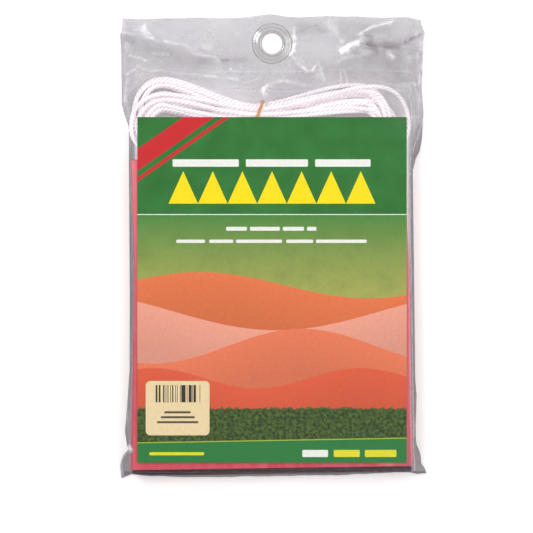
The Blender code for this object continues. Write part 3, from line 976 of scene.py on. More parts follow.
def near_line(points, pixels):
    """How far points in the plane are from a line of pixels, in metres."""
    nearest = np.full(len(points), np.inf)
    places = [np.array(on_photo(*p)) for p in pixels]
    for a, b in zip(places, places[1:], strict=False):
        along = b - a
        share = np.clip((points - a) @ along / (along @ along), 0, 1)
        nearest = np.minimum(nearest, np.linalg.norm(points - a - share[:, None] * along, axis=1))
    return nearest


def film_rows(cell):
    """The rows of the front film's grid: their place along the pouch and their height."""
    wall = rounded(
        (
            (WALL_Y - 0.0028, FOOT_Z),
            (WALL_Y - 0.0004, FOOT_Z),
            (WALL_Y, FRONT_Z),
            (WALL_Y + 0.004, FRONT_Z),
        ),
        (0.0009, 0.0022),
    )
    wall = resampled(wall, 20)
    hank = HANK_LOW.y
    # The film is flat over the card and bends most at the crease, so its cells follow that
    fine = 0.0007
    seam = [(y, FOOT_Z) for y in np.linspace(SEAM_Y, wall[0][0], 4)[:-1]]
    over_card = [(y, FRONT_Z) for y in np.arange(wall[-1][0] + cell, hank, cell * 1.7)]
    over_hank = [(y, FRONT_Z) for y in np.arange(hank, CREASE.y - SLOPE, cell)]
    slope = [(y, FRONT_Z) for y in np.arange(CREASE.y - SLOPE, CREASE.y + 0.001, fine)]
    start = slope[-1][0] + fine
    count = round((TOP_Y - start) / (cell * 0.85))
    header = [(y, FRONT_Z) for y in np.linspace(start, TOP_Y, count)]
    return seam + [tuple(p) for p in wall] + over_card + over_hank + slope + header


def crest_at(x):
    """How far up the film is held flat by what is under it: the top of the hank's humps."""
    return (ORIGIN_PIXEL[1] - pixel_line(HANK_CREST, x / PIXEL + ORIGIN_PIXEL[0])) * PIXEL


def held_to(x):
    """How far up the front film stays level: over the humps, and over the card when it has
    slid all the way up.
    """
    over_card = 1 - eased((np.abs(x) - CARD_HIGH.x - 0.001) / 0.006)
    crest = crest_at(x)
    return crest + over_card * np.maximum(CARD_HIGH.y + CARD_TRAVEL + HELD_PAST - crest, 0)


def lifted(y):
    """How far the films have come up from the floor (0) to the header's two plies (1)."""
    return float(eased((y - CREASE.y + LIFT) / LIFT))


def beside_hank(y):
    """0 beside the tent, and 1 beside the hank, where the film stands clear of the sides."""
    return eased((y - 0.07) / 0.03)


def past_flange(reach):
    """0 under the eyelet's flange, where the film stays flat, and 1 from 3 mm outside it."""
    return eased((reach - EYELET_RADIUS * 0.9) / 0.004)


def loose_at(x, y):
    """How loose the film is: 0 over the card, a little over the hank, 0.7 at the welds and
    the seam and 1 in the header.
    """
    over = 0.2 * eased((y - CARD_HIGH.y + 0.001) / 0.012)
    over += 0.8 * eased((y - crest_at(x) + 0.001) / 0.006)
    side = eased((np.abs(x) - CARD_HIGH.x - 0.001) / 0.003)
    below = eased((TENT_LOW.y + 0.0005 - y) / 0.002)
    return np.maximum.reduce([over, side * 0.7, below * 0.7])


def header_wave(x, y, settings):
    """The slow waves that lift both plies of the header off the floor."""
    points = np.stack([x, y, np.zeros_like(x)], axis=1)
    wave = 0.5 + 0.75 * noise_at(points, 0.045, 2, 2)
    # The two upper corners stand up most
    wave += 0.6 * np.exp(-(((x - 0.098) / 0.02) ** 2) - ((y - 0.15) / 0.014) ** 2)
    wave += 0.5 * np.exp(-(((x + 0.1) / 0.03) ** 2) - ((y - 0.152) / 0.008) ** 2)
    # The eyelet and the crease hold it
    reach = np.hypot(x, y - HOLE_Y)
    held = eased((reach - EYELET_RADIUS) / 0.012) * eased((y - CREASE.y - 0.002) / 0.012)
    return settings.wave * np.clip(wave, 0, None) * held


def folds(x, y, count, seed):
    """Many short straight folds, as a thin stiff film takes when it has been handled."""
    chance = np.random.default_rng(seed)
    height = np.zeros_like(x)
    for _ in range(count):
        # Somewhere above the card, a few more of them towards the top
        middle_x = chance.uniform(-0.107, 0.107)
        middle_y = CREASE.y - 0.036 + 0.074 * chance.uniform() ** 0.8
        angle = chance.normal(0.1, 0.75)
        half = chance.uniform(0.004, 0.026)
        width = chance.uniform(0.002, 0.007)
        rise = chance.choice((-1, 1)) * chance.uniform(0.1, 1.0) ** 2 * width * 0.2
        along = (x - middle_x) * math.cos(angle) + (y - middle_y) * math.sin(angle)
        away = (y - middle_y) * math.cos(angle) - (x - middle_x) * math.sin(angle)
        # Each is bowed a little
        away = away + 0.35 * along**2 / half * chance.uniform(-1, 1)
        fold = np.exp(-np.hypot(away, 0.001) / width)
        height += rise * fold * np.clip(1 - (along / half) ** 2, 0, 1)
    return height


def facets(points, size, seed):
    """A net of sharp ridges round nearly flat facets, from 0 to 1."""
    # Blender seeds this noise from the clock if nothing else does
    noise.seed_set(seed)
    shift = Vector((seed * 3.7, seed * 1.9, seed * 0.83))
    net = []
    for p in points:
        place = Vector(p) / size + shift
        place += 0.45 * noise.noise_vector(place * 0.8)
        nearest, second = noise.voronoi(place)[0][:2]
        net.append(math.exp(-(second - nearest) / 0.3))
    return np.array(net)


def crumples(grid, settings, seed):
    """The crumples of a film's grid: their height, the painted glints and painted shade along the
    hard creases and strokes, how sharply the film bends, and how loose it is.
    """
    flat = grid.reshape(-1, 3)
    x, y = flat[:, 0], flat[:, 1]
    points = np.stack([x, y * 1.25, flat[:, 2] * 0.6], axis=1)
    loose = loose_at(x, y)
    # Lumps of 36 and 16 mm, and a net of ridges 30 mm wide
    height = settings.crumple * 0.9 * noise_at(points, 0.036, seed + 4, 1)
    height += settings.crumple * 0.5 * noise_at(points, 0.016, seed + 5, 1)
    height += settings.crumple * 0.2 * facets(points, 0.03, seed)
    height += folds(x, y, 60, seed)
    height *= loose
    crease_marks_and_painted_light = np.zeros_like(height)
    plane = np.stack([x, y], axis=1)
    uneven = noise_at(points, 0.01, seed + 11, 2)
    fade = np.clip(0.75 + 0.9 * uneven, 0.2, 1.2)
    for pixels, width, rise, white in CREASES:
        away = near_line(plane, pixels)
        height += 0.0009 * rise * fade * np.exp(-np.hypot(away, 0.0011) / (width * 0.0012))
        # A painted glint along each crease, and painted shade along the dark strokes
        crease_marks_and_painted_light += white * fade * np.exp(-((away / (width * 0.0008)) ** 2))
    # How far each point stands out from its four neighbours
    surface = height.reshape(grid.shape[:2])
    bend = np.zeros_like(surface)
    bend[1:-1, 1:-1] = (
        4 * surface[1:-1, 1:-1]
        - surface[:-2, 1:-1]
        - surface[2:, 1:-1]
        - surface[1:-1, :-2]
        - surface[1:-1, 2:]
    )
    return height, crease_marks_and_painted_light, np.clip(bend.ravel() / 0.0005, -1, 1) * loose, loose


def grid_normals(points):
    """Unit normals of a grid of points, upwards on its flat parts."""
    along = np.gradient(points, axis=0)
    across = np.gradient(points, axis=1)
    normal = np.cross(across, along)
    size = np.linalg.norm(normal, axis=2)[..., None]
    return normal / np.maximum(size, 1e-12)


def side_line(y, side, top_points, side_points):
    """Half of a row of the front film: places across, and shares of the way up its wall."""
    edge = abs(edge_x(y, side))
    widen = float(eased((y - 0.064) / 0.03))
    # It follows the tent's leaning side, and straightens above the tent's slanted top
    reach = max(tent_side(y, side), CARD_HIGH.x + CARD_CLEAR)
    reach = max(reach, TENT_HIGH.x * float(eased((y - 0.045) / 0.02)))
    foot = min(reach + TENT_CLEAR + HANK_CLEAR * widen, edge - LEAST_WELD)
    shoulder = foot - WALL_LEAN - HANK_LEAN * widen
    start = shoulder - 0.0035
    line = rounded(
        ((start, FRONT_Z), (shoulder, FRONT_Z), (foot, 0), (edge, 0)),
        (0.0011 + 0.003 * widen, 0.001 + 0.003 * widen),
    )
    line = resampled(line, side_points)
    across = np.concatenate([np.linspace(0, start, top_points)[:-1], line[:, 0]])
    share = np.concatenate([np.ones(top_points - 1), line[:, 1] / FRONT_Z])
    return side * across, share


def pulled_ends(flat):
    """Pulls the rows near the two ends onto the film's uneven top and bottom edges."""
    pixel_x = flat[:, 0] / PIXEL + ORIGIN_PIXEL[0]
    wander = noise_at(flat * np.array((1, 0, 0)), 0.012, 6, 2)
    top = (ORIGIN_PIXEL[1] - pixel_line(TOP_EDGE, pixel_x)) * PIXEL + 0.0003 * wander
    low = (ORIGIN_PIXEL[1] - pixel_line(BOTTOM_EDGE, pixel_x)) * PIXEL + 0.0004 * wander
    seam = 0.0045
    flat[:, 1] += eased((flat[:, 1] - HOLE_Y) / (TOP_Y - HOLE_Y)) * (top - TOP_Y)
    flat[:, 1] += eased((SEAM_Y + seam - flat[:, 1]) / seam) * (low - SEAM_Y)


def front_film(settings):
    """The front film's points, draped over the contents, with how much haze covers what is
    under each and the painted glint and painted shade in that haze.
    """
    top_points = round(CARD_HIGH.x / settings.cell / 1.15)
    side_points = 26
    grid, walls, seams, shadow = [], [], [], []
    for y, wall_z in film_rows(settings.cell):
        low = FOOT_Z + (PLY_Z - FOOT_Z) * lifted(y)
        left_x, left_share = side_line(y, -1, top_points, side_points)
        right_x, right_share = side_line(y, 1, top_points, side_points)
        x = np.concatenate([left_x[::-1], right_x[1:]])
        share = np.concatenate([left_share[::-1], right_share[1:]])
        ramp = np.clip((CREASE.y - y) / np.maximum(CREASE.y - held_to(x), 0.004), 0, 1)
        top = low + (wall_z - low) * eased(ramp)
        grid.append(np.stack([x, np.full_like(x, y), low + (top - low) * share], axis=1))
        flange = 1 - float(eased((wall_z - FILM) / 0.003))
        walls.append(1 - share)
        seams.append(np.full_like(x, flange))
        shadow.append(flange * below_tent(x, y))
    points = np.array(grid)
    flat = points.reshape(-1, 3)
    pulled_ends(flat)
    height, crease_marks_and_painted_light, bend, loose = crumples(points, settings, 1)
    around = np.hypot(flat[:, 0], flat[:, 1] - HOLE_Y)
    height *= past_flange(around)
    # Over the contents the crumples only rise
    held = 1 - eased((flat[:, 1] - held_to(flat[:, 0])) / 0.008)
    outward = (height + np.hypot(height, 0.0003)) / 2
    height += (outward - height) * held
    flat += grid_normals(points).reshape(-1, 3) * height[:, None]
    flat[:, 2] += header_wave(flat[:, 0], flat[:, 1], settings)
    floor = np.where(around < EYELET_RADIUS + 0.001, PLY_Z, FILM + 0.0002)
    flat[:, 2] = np.maximum(flat[:, 2], floor)
    wall = np.array(walls).ravel() * (1 - 0.75 * beside_hank(flat[:, 1]))
    seam = np.array(seams).ravel()
    shadow = np.array(shadow).ravel()
    # The haze is thin over the card and thicker on the walls, the seam and the creases. At
    # 0.5 it has the film's own colour. Above that it whitens in painted glints, and below it
    # darkens in painted shade on the walls, the seam, the crumples' hollows and the gap below the
    # tent.
    cover = 0.01 + 0.05 * loose + 0.19 * wall + 0.16 * np.abs(bend) + 0.45 * np.abs(crease_marks_and_painted_light)
    cover += 0.4 * seam + 0.2 * shadow
    glint_and_shade = 0.5 + 0.4 * bend + crease_marks_and_painted_light - 0.23 * wall - 0.15 * seam - 0.6 * shadow
    # The cut edges are a little denser to look along
    rim, denser = cover.reshape(points.shape[:2]), 0.15
    rim[:, :2] += denser
    rim[:, -2:] += denser
    rim[-2:] += denser
    return points, rim.ravel(), glint_and_shade


def back_film(settings):
    """The back film's points, flat on the floor up to the header, with their haze as in the
    front film.
    """
    rows = [y for y, _ in film_rows(settings.cell * 1.2)]
    # The front film's wall is upright, so its rows lie on each other here
    rows = [y for i, y in enumerate(rows) if i == 0 or y - rows[i - 1] > 0.0002]
    columns = np.linspace(-1, 1, 2 * round(CARD_HIGH.x / settings.cell))
    grid = []
    for y in rows:
        left, right = edge_x(y, -1), edge_x(y, 1)
        x = left + (right - left) * (columns / 2 + 0.5)
        level = BACK_PLY_Z * lifted(y)
        grid.append(np.stack([x, np.full_like(x, y), np.full_like(x, level)], axis=1))
    points = np.array(grid)
    flat = points.reshape(-1, 3)
    pulled_ends(flat)
    height, crease_marks_and_painted_light, bend, loose = crumples(points, settings, 9)
    header = eased((flat[:, 1] - CREASE.y) / 0.01)
    around = np.hypot(flat[:, 0], flat[:, 1] - HOLE_Y)
    # It takes up less of a crumple than the front film, and next to nothing under the tent
    flat[:, 2] += np.clip(height, -0.0007, 0.0007) * header * 0.7 * past_flange(around)
    flat[:, 2] += np.clip(np.abs(height) * 0.06, 0, 0.00012) * (1 - header)
    flat[:, 2] += header_wave(flat[:, 0], flat[:, 1], settings)
    flat[:, 2] = np.maximum(flat[:, 2], 0.00005)
    # The margin outside the tent, and the film that has nothing in front of it
    fade = 0.0015
    outside = eased((np.abs(flat[:, 0]) - TENT_HIGH.x) / fade + 1.2)
    outside = np.maximum(outside, eased((tent_end(flat[:, 0]) - flat[:, 1]) / fade + 1.2))
    margin = outside * (1 - 0.8 * beside_hank(flat[:, 1]))
    gap = below_tent(flat[:, 0], flat[:, 1])
    alone = np.maximum(loose, eased((flat[:, 1] - CARD_HIGH.y + 0.004) / 0.008))
    patches = noise_at(flat * np.array((1, 1.6, 0)), 0.045, 21, 1)
    painted_shade_strokes = np.clip(-crease_marks_and_painted_light, 0, 1)
    cover = 0.03 + (0.4 + 0.1 * patches) * alone + 0.3 * margin + 0.1 * np.abs(bend)
    cover += 0.1 * painted_shade_strokes + 0.6 * gap
    # Painted shade darkens the margin, the dark strokes and the gap below the tent, and painted
    # glints lighten the ridges and creases
    glint_and_shade = 0.44 - 0.08 * patches + 0.25 * bend + 0.3 * crease_marks_and_painted_light - 0.2 * painted_shade_strokes - 0.1 * margin
    glint_and_shade -= 0.6 * gap
    return points, cover, glint_and_shade


def with_hole(points, faces, radius):
    """The faces outside a round hole for the eyelet, with their inner points on its rim."""
    centre = points[faces].mean(axis=1)
    kept = faces[np.hypot(centre[:, 0], centre[:, 1] - HOLE_Y) > radius]
    around = np.hypot(points[:, 0], points[:, 1] - HOLE_Y)
    # A point on the rim has fewer than four faces left
    counts = np.bincount(kept.ravel(), minlength=len(points))
    rim = (around < radius + 0.0012) & (counts > 0) & (counts < 4)
    scale = radius / np.maximum(around[rim], 1e-9)
    points[rim, 0] *= scale
    points[rim, 1] = HOLE_Y + (points[rim, 1] - HOLE_Y) * scale
    return points, kept


def film_object(name, points, cover, glint_and_shade, radius):
    """A film's mesh, with its hole for the eyelet and its two attributes."""
    rows, columns = points.shape[:2]
    flat, faces = with_hole(points.reshape(-1, 3), grid_faces(rows, columns), radius)
    used = np.unique(faces)
    number = np.full(len(flat), -1)
    number[used] = np.arange(len(used))
    return mesh_object(
        name,
        flat[used],
        number[faces],
        {"cover": cover[used], "glint_and_shade": glint_and_shade[used]},
    )


def film_material(name, settings):
    """Clear polyethylene film, blown thin: it shows what is under it, with a faint milky
    haze in 20 mm clouds, and its crumples catch the light in hard glints. Painted glints whiten
    its haze along sharp crumples and creases, and painted shade darkens it in their hollows, on
    the walls and seams and at the foot of the contents. Its die streaks are 7 mm wide here,
    coarser than real ones, to show.
    """
    made, tree, output = new_material(name)
    place = add(tree, "TexCoord").outputs["Object"]
    cover = add(tree, "Attribute", attribute_name="cover").outputs["Fac"]
    glint_and_shade = add(tree, "Attribute", attribute_name="glint_and_shade").outputs["Fac"]
    cloud = add(tree, "TexNoise", {"Vector": place, "Scale": 45, "Detail": 3})
    streaks = add(tree, "TexNoise", {"Vector": place, "Scale": 150, "Detail": 3, "Distortion": 1})
    patchy = add(
        tree,
        "MapRange",
        {"Value": cloud, "From Min": 0.3, "From Max": 0.7, "To Min": 0.92, "To Max": 1.08},
    )
    milky = add(tree, "Math", {0: cover, 1: patchy}, operation="MULTIPLY", use_clamp=True)
    # Below 0.5 the haze turns to the painted shade colour, and above it to the painted glint colour
    dark = add(tree, "MapRange", {"Value": glint_and_shade, "From Max": 0.5})
    bright = add(tree, "MapRange", {"Value": glint_and_shade, "From Min": 0.5, "From Max": 1.1})
    low = add(
        tree,
        "Mix",
        {0: dark, 6: (*settings.shade, 1), 7: (*settings.film, 1)},
        data_type="RGBA",
    )
    colour = add(
        tree,
        "Mix",
        {0: bright, 6: low.outputs[2], 7: (*settings.glint, 1)},
        data_type="RGBA",
    )
    bump = add(tree, "Bump", {"Height": streaks, "Strength": 0.1, "Distance": 0.0006})
    clear = add(tree, "BsdfTransparent", {"Color": (1, 1, 1, 1)})
    milk = add(
        tree,
        "BsdfPrincipled",
        {
            "Base Color": colour.outputs[2],
            "Roughness": 0.45,
            "Specular IOR Level": 0.1,
            "Normal": bump,
        },
    )
    gloss = add(tree, "BsdfGlossy", {"Color": (1, 1, 1, 1), "Roughness": 0.17, "Normal": bump})
    index = add(tree, "MapRange", {"Value": cover, "From Max": 0.2, "To Min": 1.3, "To Max": 1.75})
    most = add(tree, "MapRange", {"Value": cover, "From Max": 0.2, "To Min": 0.012, "To Max": 0.11})
    mirror = add(tree, "Fresnel", {"IOR": index, "Normal": bump})
    shine = add(tree, "Math", {0: mirror, 1: most}, operation="MINIMUM")
    body = add(tree, "MixShader", {0: milky, 1: clear, 2: milk})
    film = add(tree, "MixShader", {0: shine, 1: body, 2: gloss})
    tree.links.new(film.outputs[0], output.inputs[0])
    return made


class PACKEDTENT_OT_pouch(bpy.types.Operator):
    """Makes the two crumpled films of the pouch"""

    bl_idname = "packed_tent.pouch"
    bl_label = "Clear Pouch"

    def execute(self, context):
        settings = context.scene.packed_tent.pouch
        # The hole's edge is hidden under the eyelet's flange
        radius = EYELET_RADIUS - 0.0007
        front = film_object("pouch_front_film", *front_film(settings), radius)
        finish_with(front, film_material("clear_blown_film_front", settings))
        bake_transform(front)
        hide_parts("bag_front_film", "header_front_film")
        back = film_object("pouch_back_film", *back_film(settings), radius)
        back.data.flip_normals()
        finish_with(back, film_material("clear_blown_film_back", settings))
        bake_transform(back)
        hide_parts("bag_back_film", "header_back_film")
        return {"FINISHED"}


# Eyelet


def turned_ring(name, profile):
    """A closed ring about the hang hole, extruded and resized loop by loop and bridged."""
    bpy.ops.object.select_all(action="DESELECT")
    centre = (0, HOLE_Y, 0)
    radius, height = profile[0]
    bpy.ops.mesh.primitive_circle_add(
        vertices=72, radius=radius, fill_type="NOTHING", location=(0, HOLE_Y, height)
    )
    ring = bpy.context.object
    ring.name = name
    bpy.ops.object.transform_apply(location=True)
    bpy.ops.object.mode_set(mode="EDIT")
    bpy.ops.mesh.select_all(action="SELECT")
    for step_radius, step_height in profile[1:]:
        bpy.ops.mesh.extrude_edges_move(
            TRANSFORM_OT_translate={"value": (0, 0, step_height - height)}
        )
        share = step_radius / radius
        bpy.ops.transform.resize(value=(share, share, 1), center_override=centre)
        radius, height = step_radius, step_height
    mesh = bmesh.from_edit_mesh(ring.data)
    for edge in mesh.edges:
        edge.select = edge.is_boundary
    mesh.select_flush_mode()
    bmesh.update_edit_mesh(ring.data)
    bpy.ops.mesh.select_mode(type="EDGE")
    bpy.ops.mesh.bridge_edge_loops()
    bpy.ops.mesh.select_all(action="SELECT")
    bpy.ops.mesh.normals_make_consistent(inside=False)
    bpy.ops.object.mode_set(mode="OBJECT")
    bpy.ops.object.shade_smooth_by_angle(angle=math.radians(50))
    return ring


def eyelet_material(settings):
    """Clear soft vinyl, injection moulded: it deepens to beige where the light crosses the
    barrel's wall, and darkens at the thin line of its rim. Its flow swirls are 4 mm wide.
    """
    made, tree, output = new_material("clear_moulded_vinyl")
    place = add(tree, "TexCoord").outputs["Object"]
    swirl = add(tree, "TexNoise", {"Vector": place, "Scale": 240, "Detail": 2, "Distortion": 2})
    flat = add(tree, "VectorMath", {0: place, 1: (1, 1, 0)}, operation="MULTIPLY")
    reach = add(tree, "VectorMath", {0: flat, 1: (0, HOLE_Y, 0)}, operation="DISTANCE")
    barrel = add(
        tree,
        "MapRange",
        {
            "Value": reach.outputs["Value"],
            "From Min": HOLE_RADIUS + 0.0013,
            "From Max": HOLE_RADIUS + 0.0024,
            "To Min": 0.42,
            "To Max": 0.13,
        },
    )
    facing = add(tree, "LayerWeight", {"Blend": 0.3}).outputs["Facing"]
    rim = add(tree, "MapRange", {"Value": facing, "From Min": 0.6, "To Max": 0.03})
    cover = add(tree, "Math", {0: barrel, 1: rim}, operation="ADD", use_clamp=True)
    bump = add(tree, "Bump", {"Height": swirl, "Strength": 0.04, "Distance": 0.0003})
    clear = add(tree, "BsdfTransparent", {"Color": (1, 1, 1, 1)})
    body = add(
        tree,
        "BsdfPrincipled",
        {"Base Color": (*settings.plastic, 1), "Roughness": 0.25, "Normal": bump},
    )
    gloss = add(tree, "BsdfGlossy", {"Color": (1, 1, 1, 1), "Roughness": 0.12, "Normal": bump})
    mirror = add(tree, "Fresnel", {"IOR": 1.53, "Normal": bump})
    inside = add(tree, "NewGeometry").outputs["Backfacing"]
    outer = add(tree, "Math", {0: 1.0, 1: inside}, operation="SUBTRACT")
    shine = add(tree, "Math", {0: mirror, 1: outer}, operation="MULTIPLY")
    shine = add(tree, "Math", {0: shine, 1: 0.08}, operation="MINIMUM")
    hazy = add(tree, "MixShader", {0: cover, 1: clear, 2: body})
    mixed = add(tree, "MixShader", {0: shine, 1: hazy, 2: gloss})
    tree.links.new(mixed.outputs[0], output.inputs[0])
    return made


class PACKEDTENT_OT_eyelet(bpy.types.Operator):
    """Makes the two halves of the moulded eyelet"""

    bl_idname = "packed_tent.eyelet"
    bl_label = "Eyelet"

    def execute(self, context):
        settings = context.scene.packed_tent.eyelet
        barrel = HOLE_RADIUS + 0.001
        under = PLY_Z + FILM + FILM_GAP
        crown = RING_HIGH.z
        # Radius and height round the section: the barrel up to the film, the flange's
        # underside, edge and top, then the bead and down into the hole
        front = turned_ring(
            "eyelet_front_ring",
            (
                (HOLE_RADIUS, 0.0),
                (barrel, 0.0),
                (barrel, under),
                (EYELET_RADIUS - 0.0002, under),
                (EYELET_RADIUS, under + 0.0002),
                (EYELET_RADIUS - 0.0004, under + 0.0005),
                (EYELET_RADIUS - 0.0009, under + 0.0007),
                (EYELET_RADIUS - 0.0018, under + 0.001),
                (EYELET_RADIUS - 0.0023, under + 0.001),
                (EYELET_RADIUS - 0.0028, crown - settings.rise),
                (barrel + 0.0036, crown - settings.rise + 0.0003),
                (barrel + 0.0022, crown - 0.0002),
                (barrel + 0.001, crown),
                (barrel - 0.0001, crown - 0.0001),
                (HOLE_RADIUS + 0.0003, crown - 0.0007),
                (HOLE_RADIUS, crown - 0.0013),
            ),
        )
        # The flat ring behind fits round the barrel
        bore = barrel + 0.0003
        back = turned_ring(
            "eyelet_back_ring",
            (
                (bore, 0.0),
                (EYELET_RADIUS - 0.0004, 0.0),
                (EYELET_RADIUS - 0.0001, 0.0002),
                (EYELET_RADIUS, 0.0005),
                (EYELET_RADIUS - 0.0003, BACK_RING_TOP),
                (bore, BACK_RING_TOP),
            ),
        )
        vinyl = eyelet_material(settings)
        for ring, node in ((front, "eyelet_front"), (back, "eyelet_back")):
            finish_with(ring, vinyl)
            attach(ring, "header")
            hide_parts(node)
        return {"FINISHED"}


# Printed card and leaflet

PRINT_COLOURS = {
    "white": "F4F5EE",
    "yellow": "E9DF2E",
    "ink": "5E5340",
    "cream": "F1DAAC",
    "bar code": "3A332A",
    "hairline": "A9BE3B",
    "high sky": "4C8B3F",
    "low sky": "A9AD58",
    "cloud": "5F7A33",
    "shaded grass": "2E3F1D",
    "lit grass": "55702F",
}
# On the card, sizes are in millimetres, and places too, from its lower left corner
# Plain bars and the label's ground: left, bottom, right, top and ink
PRINT_BARS = (
    (24.2, 203.4, 69.8, 208.6, "white"),
    (74.6, 203.4, 117.4, 208.6, "white"),
    (122.2, 203.4, 160.4, 208.6, "white"),
    (61.0, 159.4, 75.4, 162.2, "white"),
    (77.4, 159.4, 98.0, 162.2, "white"),
    (100.0, 159.4, 114.6, 162.2, "white"),
    (116.6, 159.4, 123.2, 162.2, "white"),
    (26.8, 151.0, 46.6, 153.4, "white"),
    (49.4, 151.0, 66.0, 153.4, "white"),
    (67.8, 151.0, 99.6, 153.4, "white"),
    (102.4, 151.0, 121.0, 153.4, "white"),
    (122.8, 151.0, 157.8, 153.4, "white"),
    (8.2, 5.0, 46.0, 7.2, "yellow"),
    (113.4, 3.8, 131.2, 8.8, "white"),
    (135.0, 3.8, 153.0, 8.8, "yellow"),
    (156.4, 3.8, 178.2, 8.8, "yellow"),
    (5.7, 18.7, 49.7, 56.2, "cream"),
    (18.4, 33.8, 36.8, 35.4, "ink"),
    (16.0, 30.4, 39.6, 32.0, "ink"),
    (13.4, 27.0, 42.0, 28.6, "ink"),
)
LABEL_CORNER = 3.2
BAR_CORNER = 0.8
BAR_CODE = (11.5, 41.4, 43.4, 53.4)
BAR_CODE_STEP = 0.42
PEAKS = (21.4, 178.0, 163.8, 200.4)
PEAK_COUNT = 7
# The stripes across the upper left corner: their slope, and where the middle of each meets
# the card's left edge, with half of its height there
STRIPE_SLOPE = 0.7
STRIPES = ((208.0, 7.6), (194.5, 1.5))
PICTURE_TOP = 170.6
SKY_FOOT = 118.0
GRASS_TOP = 33.0
GRASS_RAGGED = 9.0
# The footer's top at the left edge, and its slope
FOOTER_TOP = 13.5
FOOTER_SLOPE = 0.0178
CARD_WIDTH = 185.2
# Hills of the picture: height, swell, waves across the card, phase and colour, far to near
HILLS = (
    (122.0, 9.0, 0.8, 0.4, "EC7A48"),
    (104.0, 13.0, 0.65, 2.6, "F4A58E"),
    (80.0, 12.0, 0.9, 4.4, "EE7E58"),
    (58.0, 7.0, 1.3, 1.1, "E4603F"),
)


def in_block(tree, place, block, corner=0.6):
    """1 inside a round-cornered block of the card, given by its left, bottom, right and top."""
    blur = 0.12
    left, low, right, high = block
    middle = ((left + right) / 2, (low + high) / 2, 0)
    inner = ((right - left) / 2 - corner, (high - low) / 2 - corner, 1)
    away = add(tree, "VectorMath", {0: place, 1: middle}, operation="SUBTRACT")
    away = add(tree, "VectorMath", {0: away}, operation="ABSOLUTE")
    past = add(tree, "VectorMath", {0: away, 1: inner}, operation="SUBTRACT")
    past = add(tree, "VectorMath", {0: past, 1: (0, 0, 0)}, operation="MAXIMUM")
    reach = add(tree, "VectorMath", {0: past}, operation="LENGTH").outputs["Value"]
    return add(
        tree,
        "MapRange",
        {"Value": reach, "From Min": corner - blur, "From Max": corner, "To Min": 1, "To Max": 0},
    ).outputs[0]


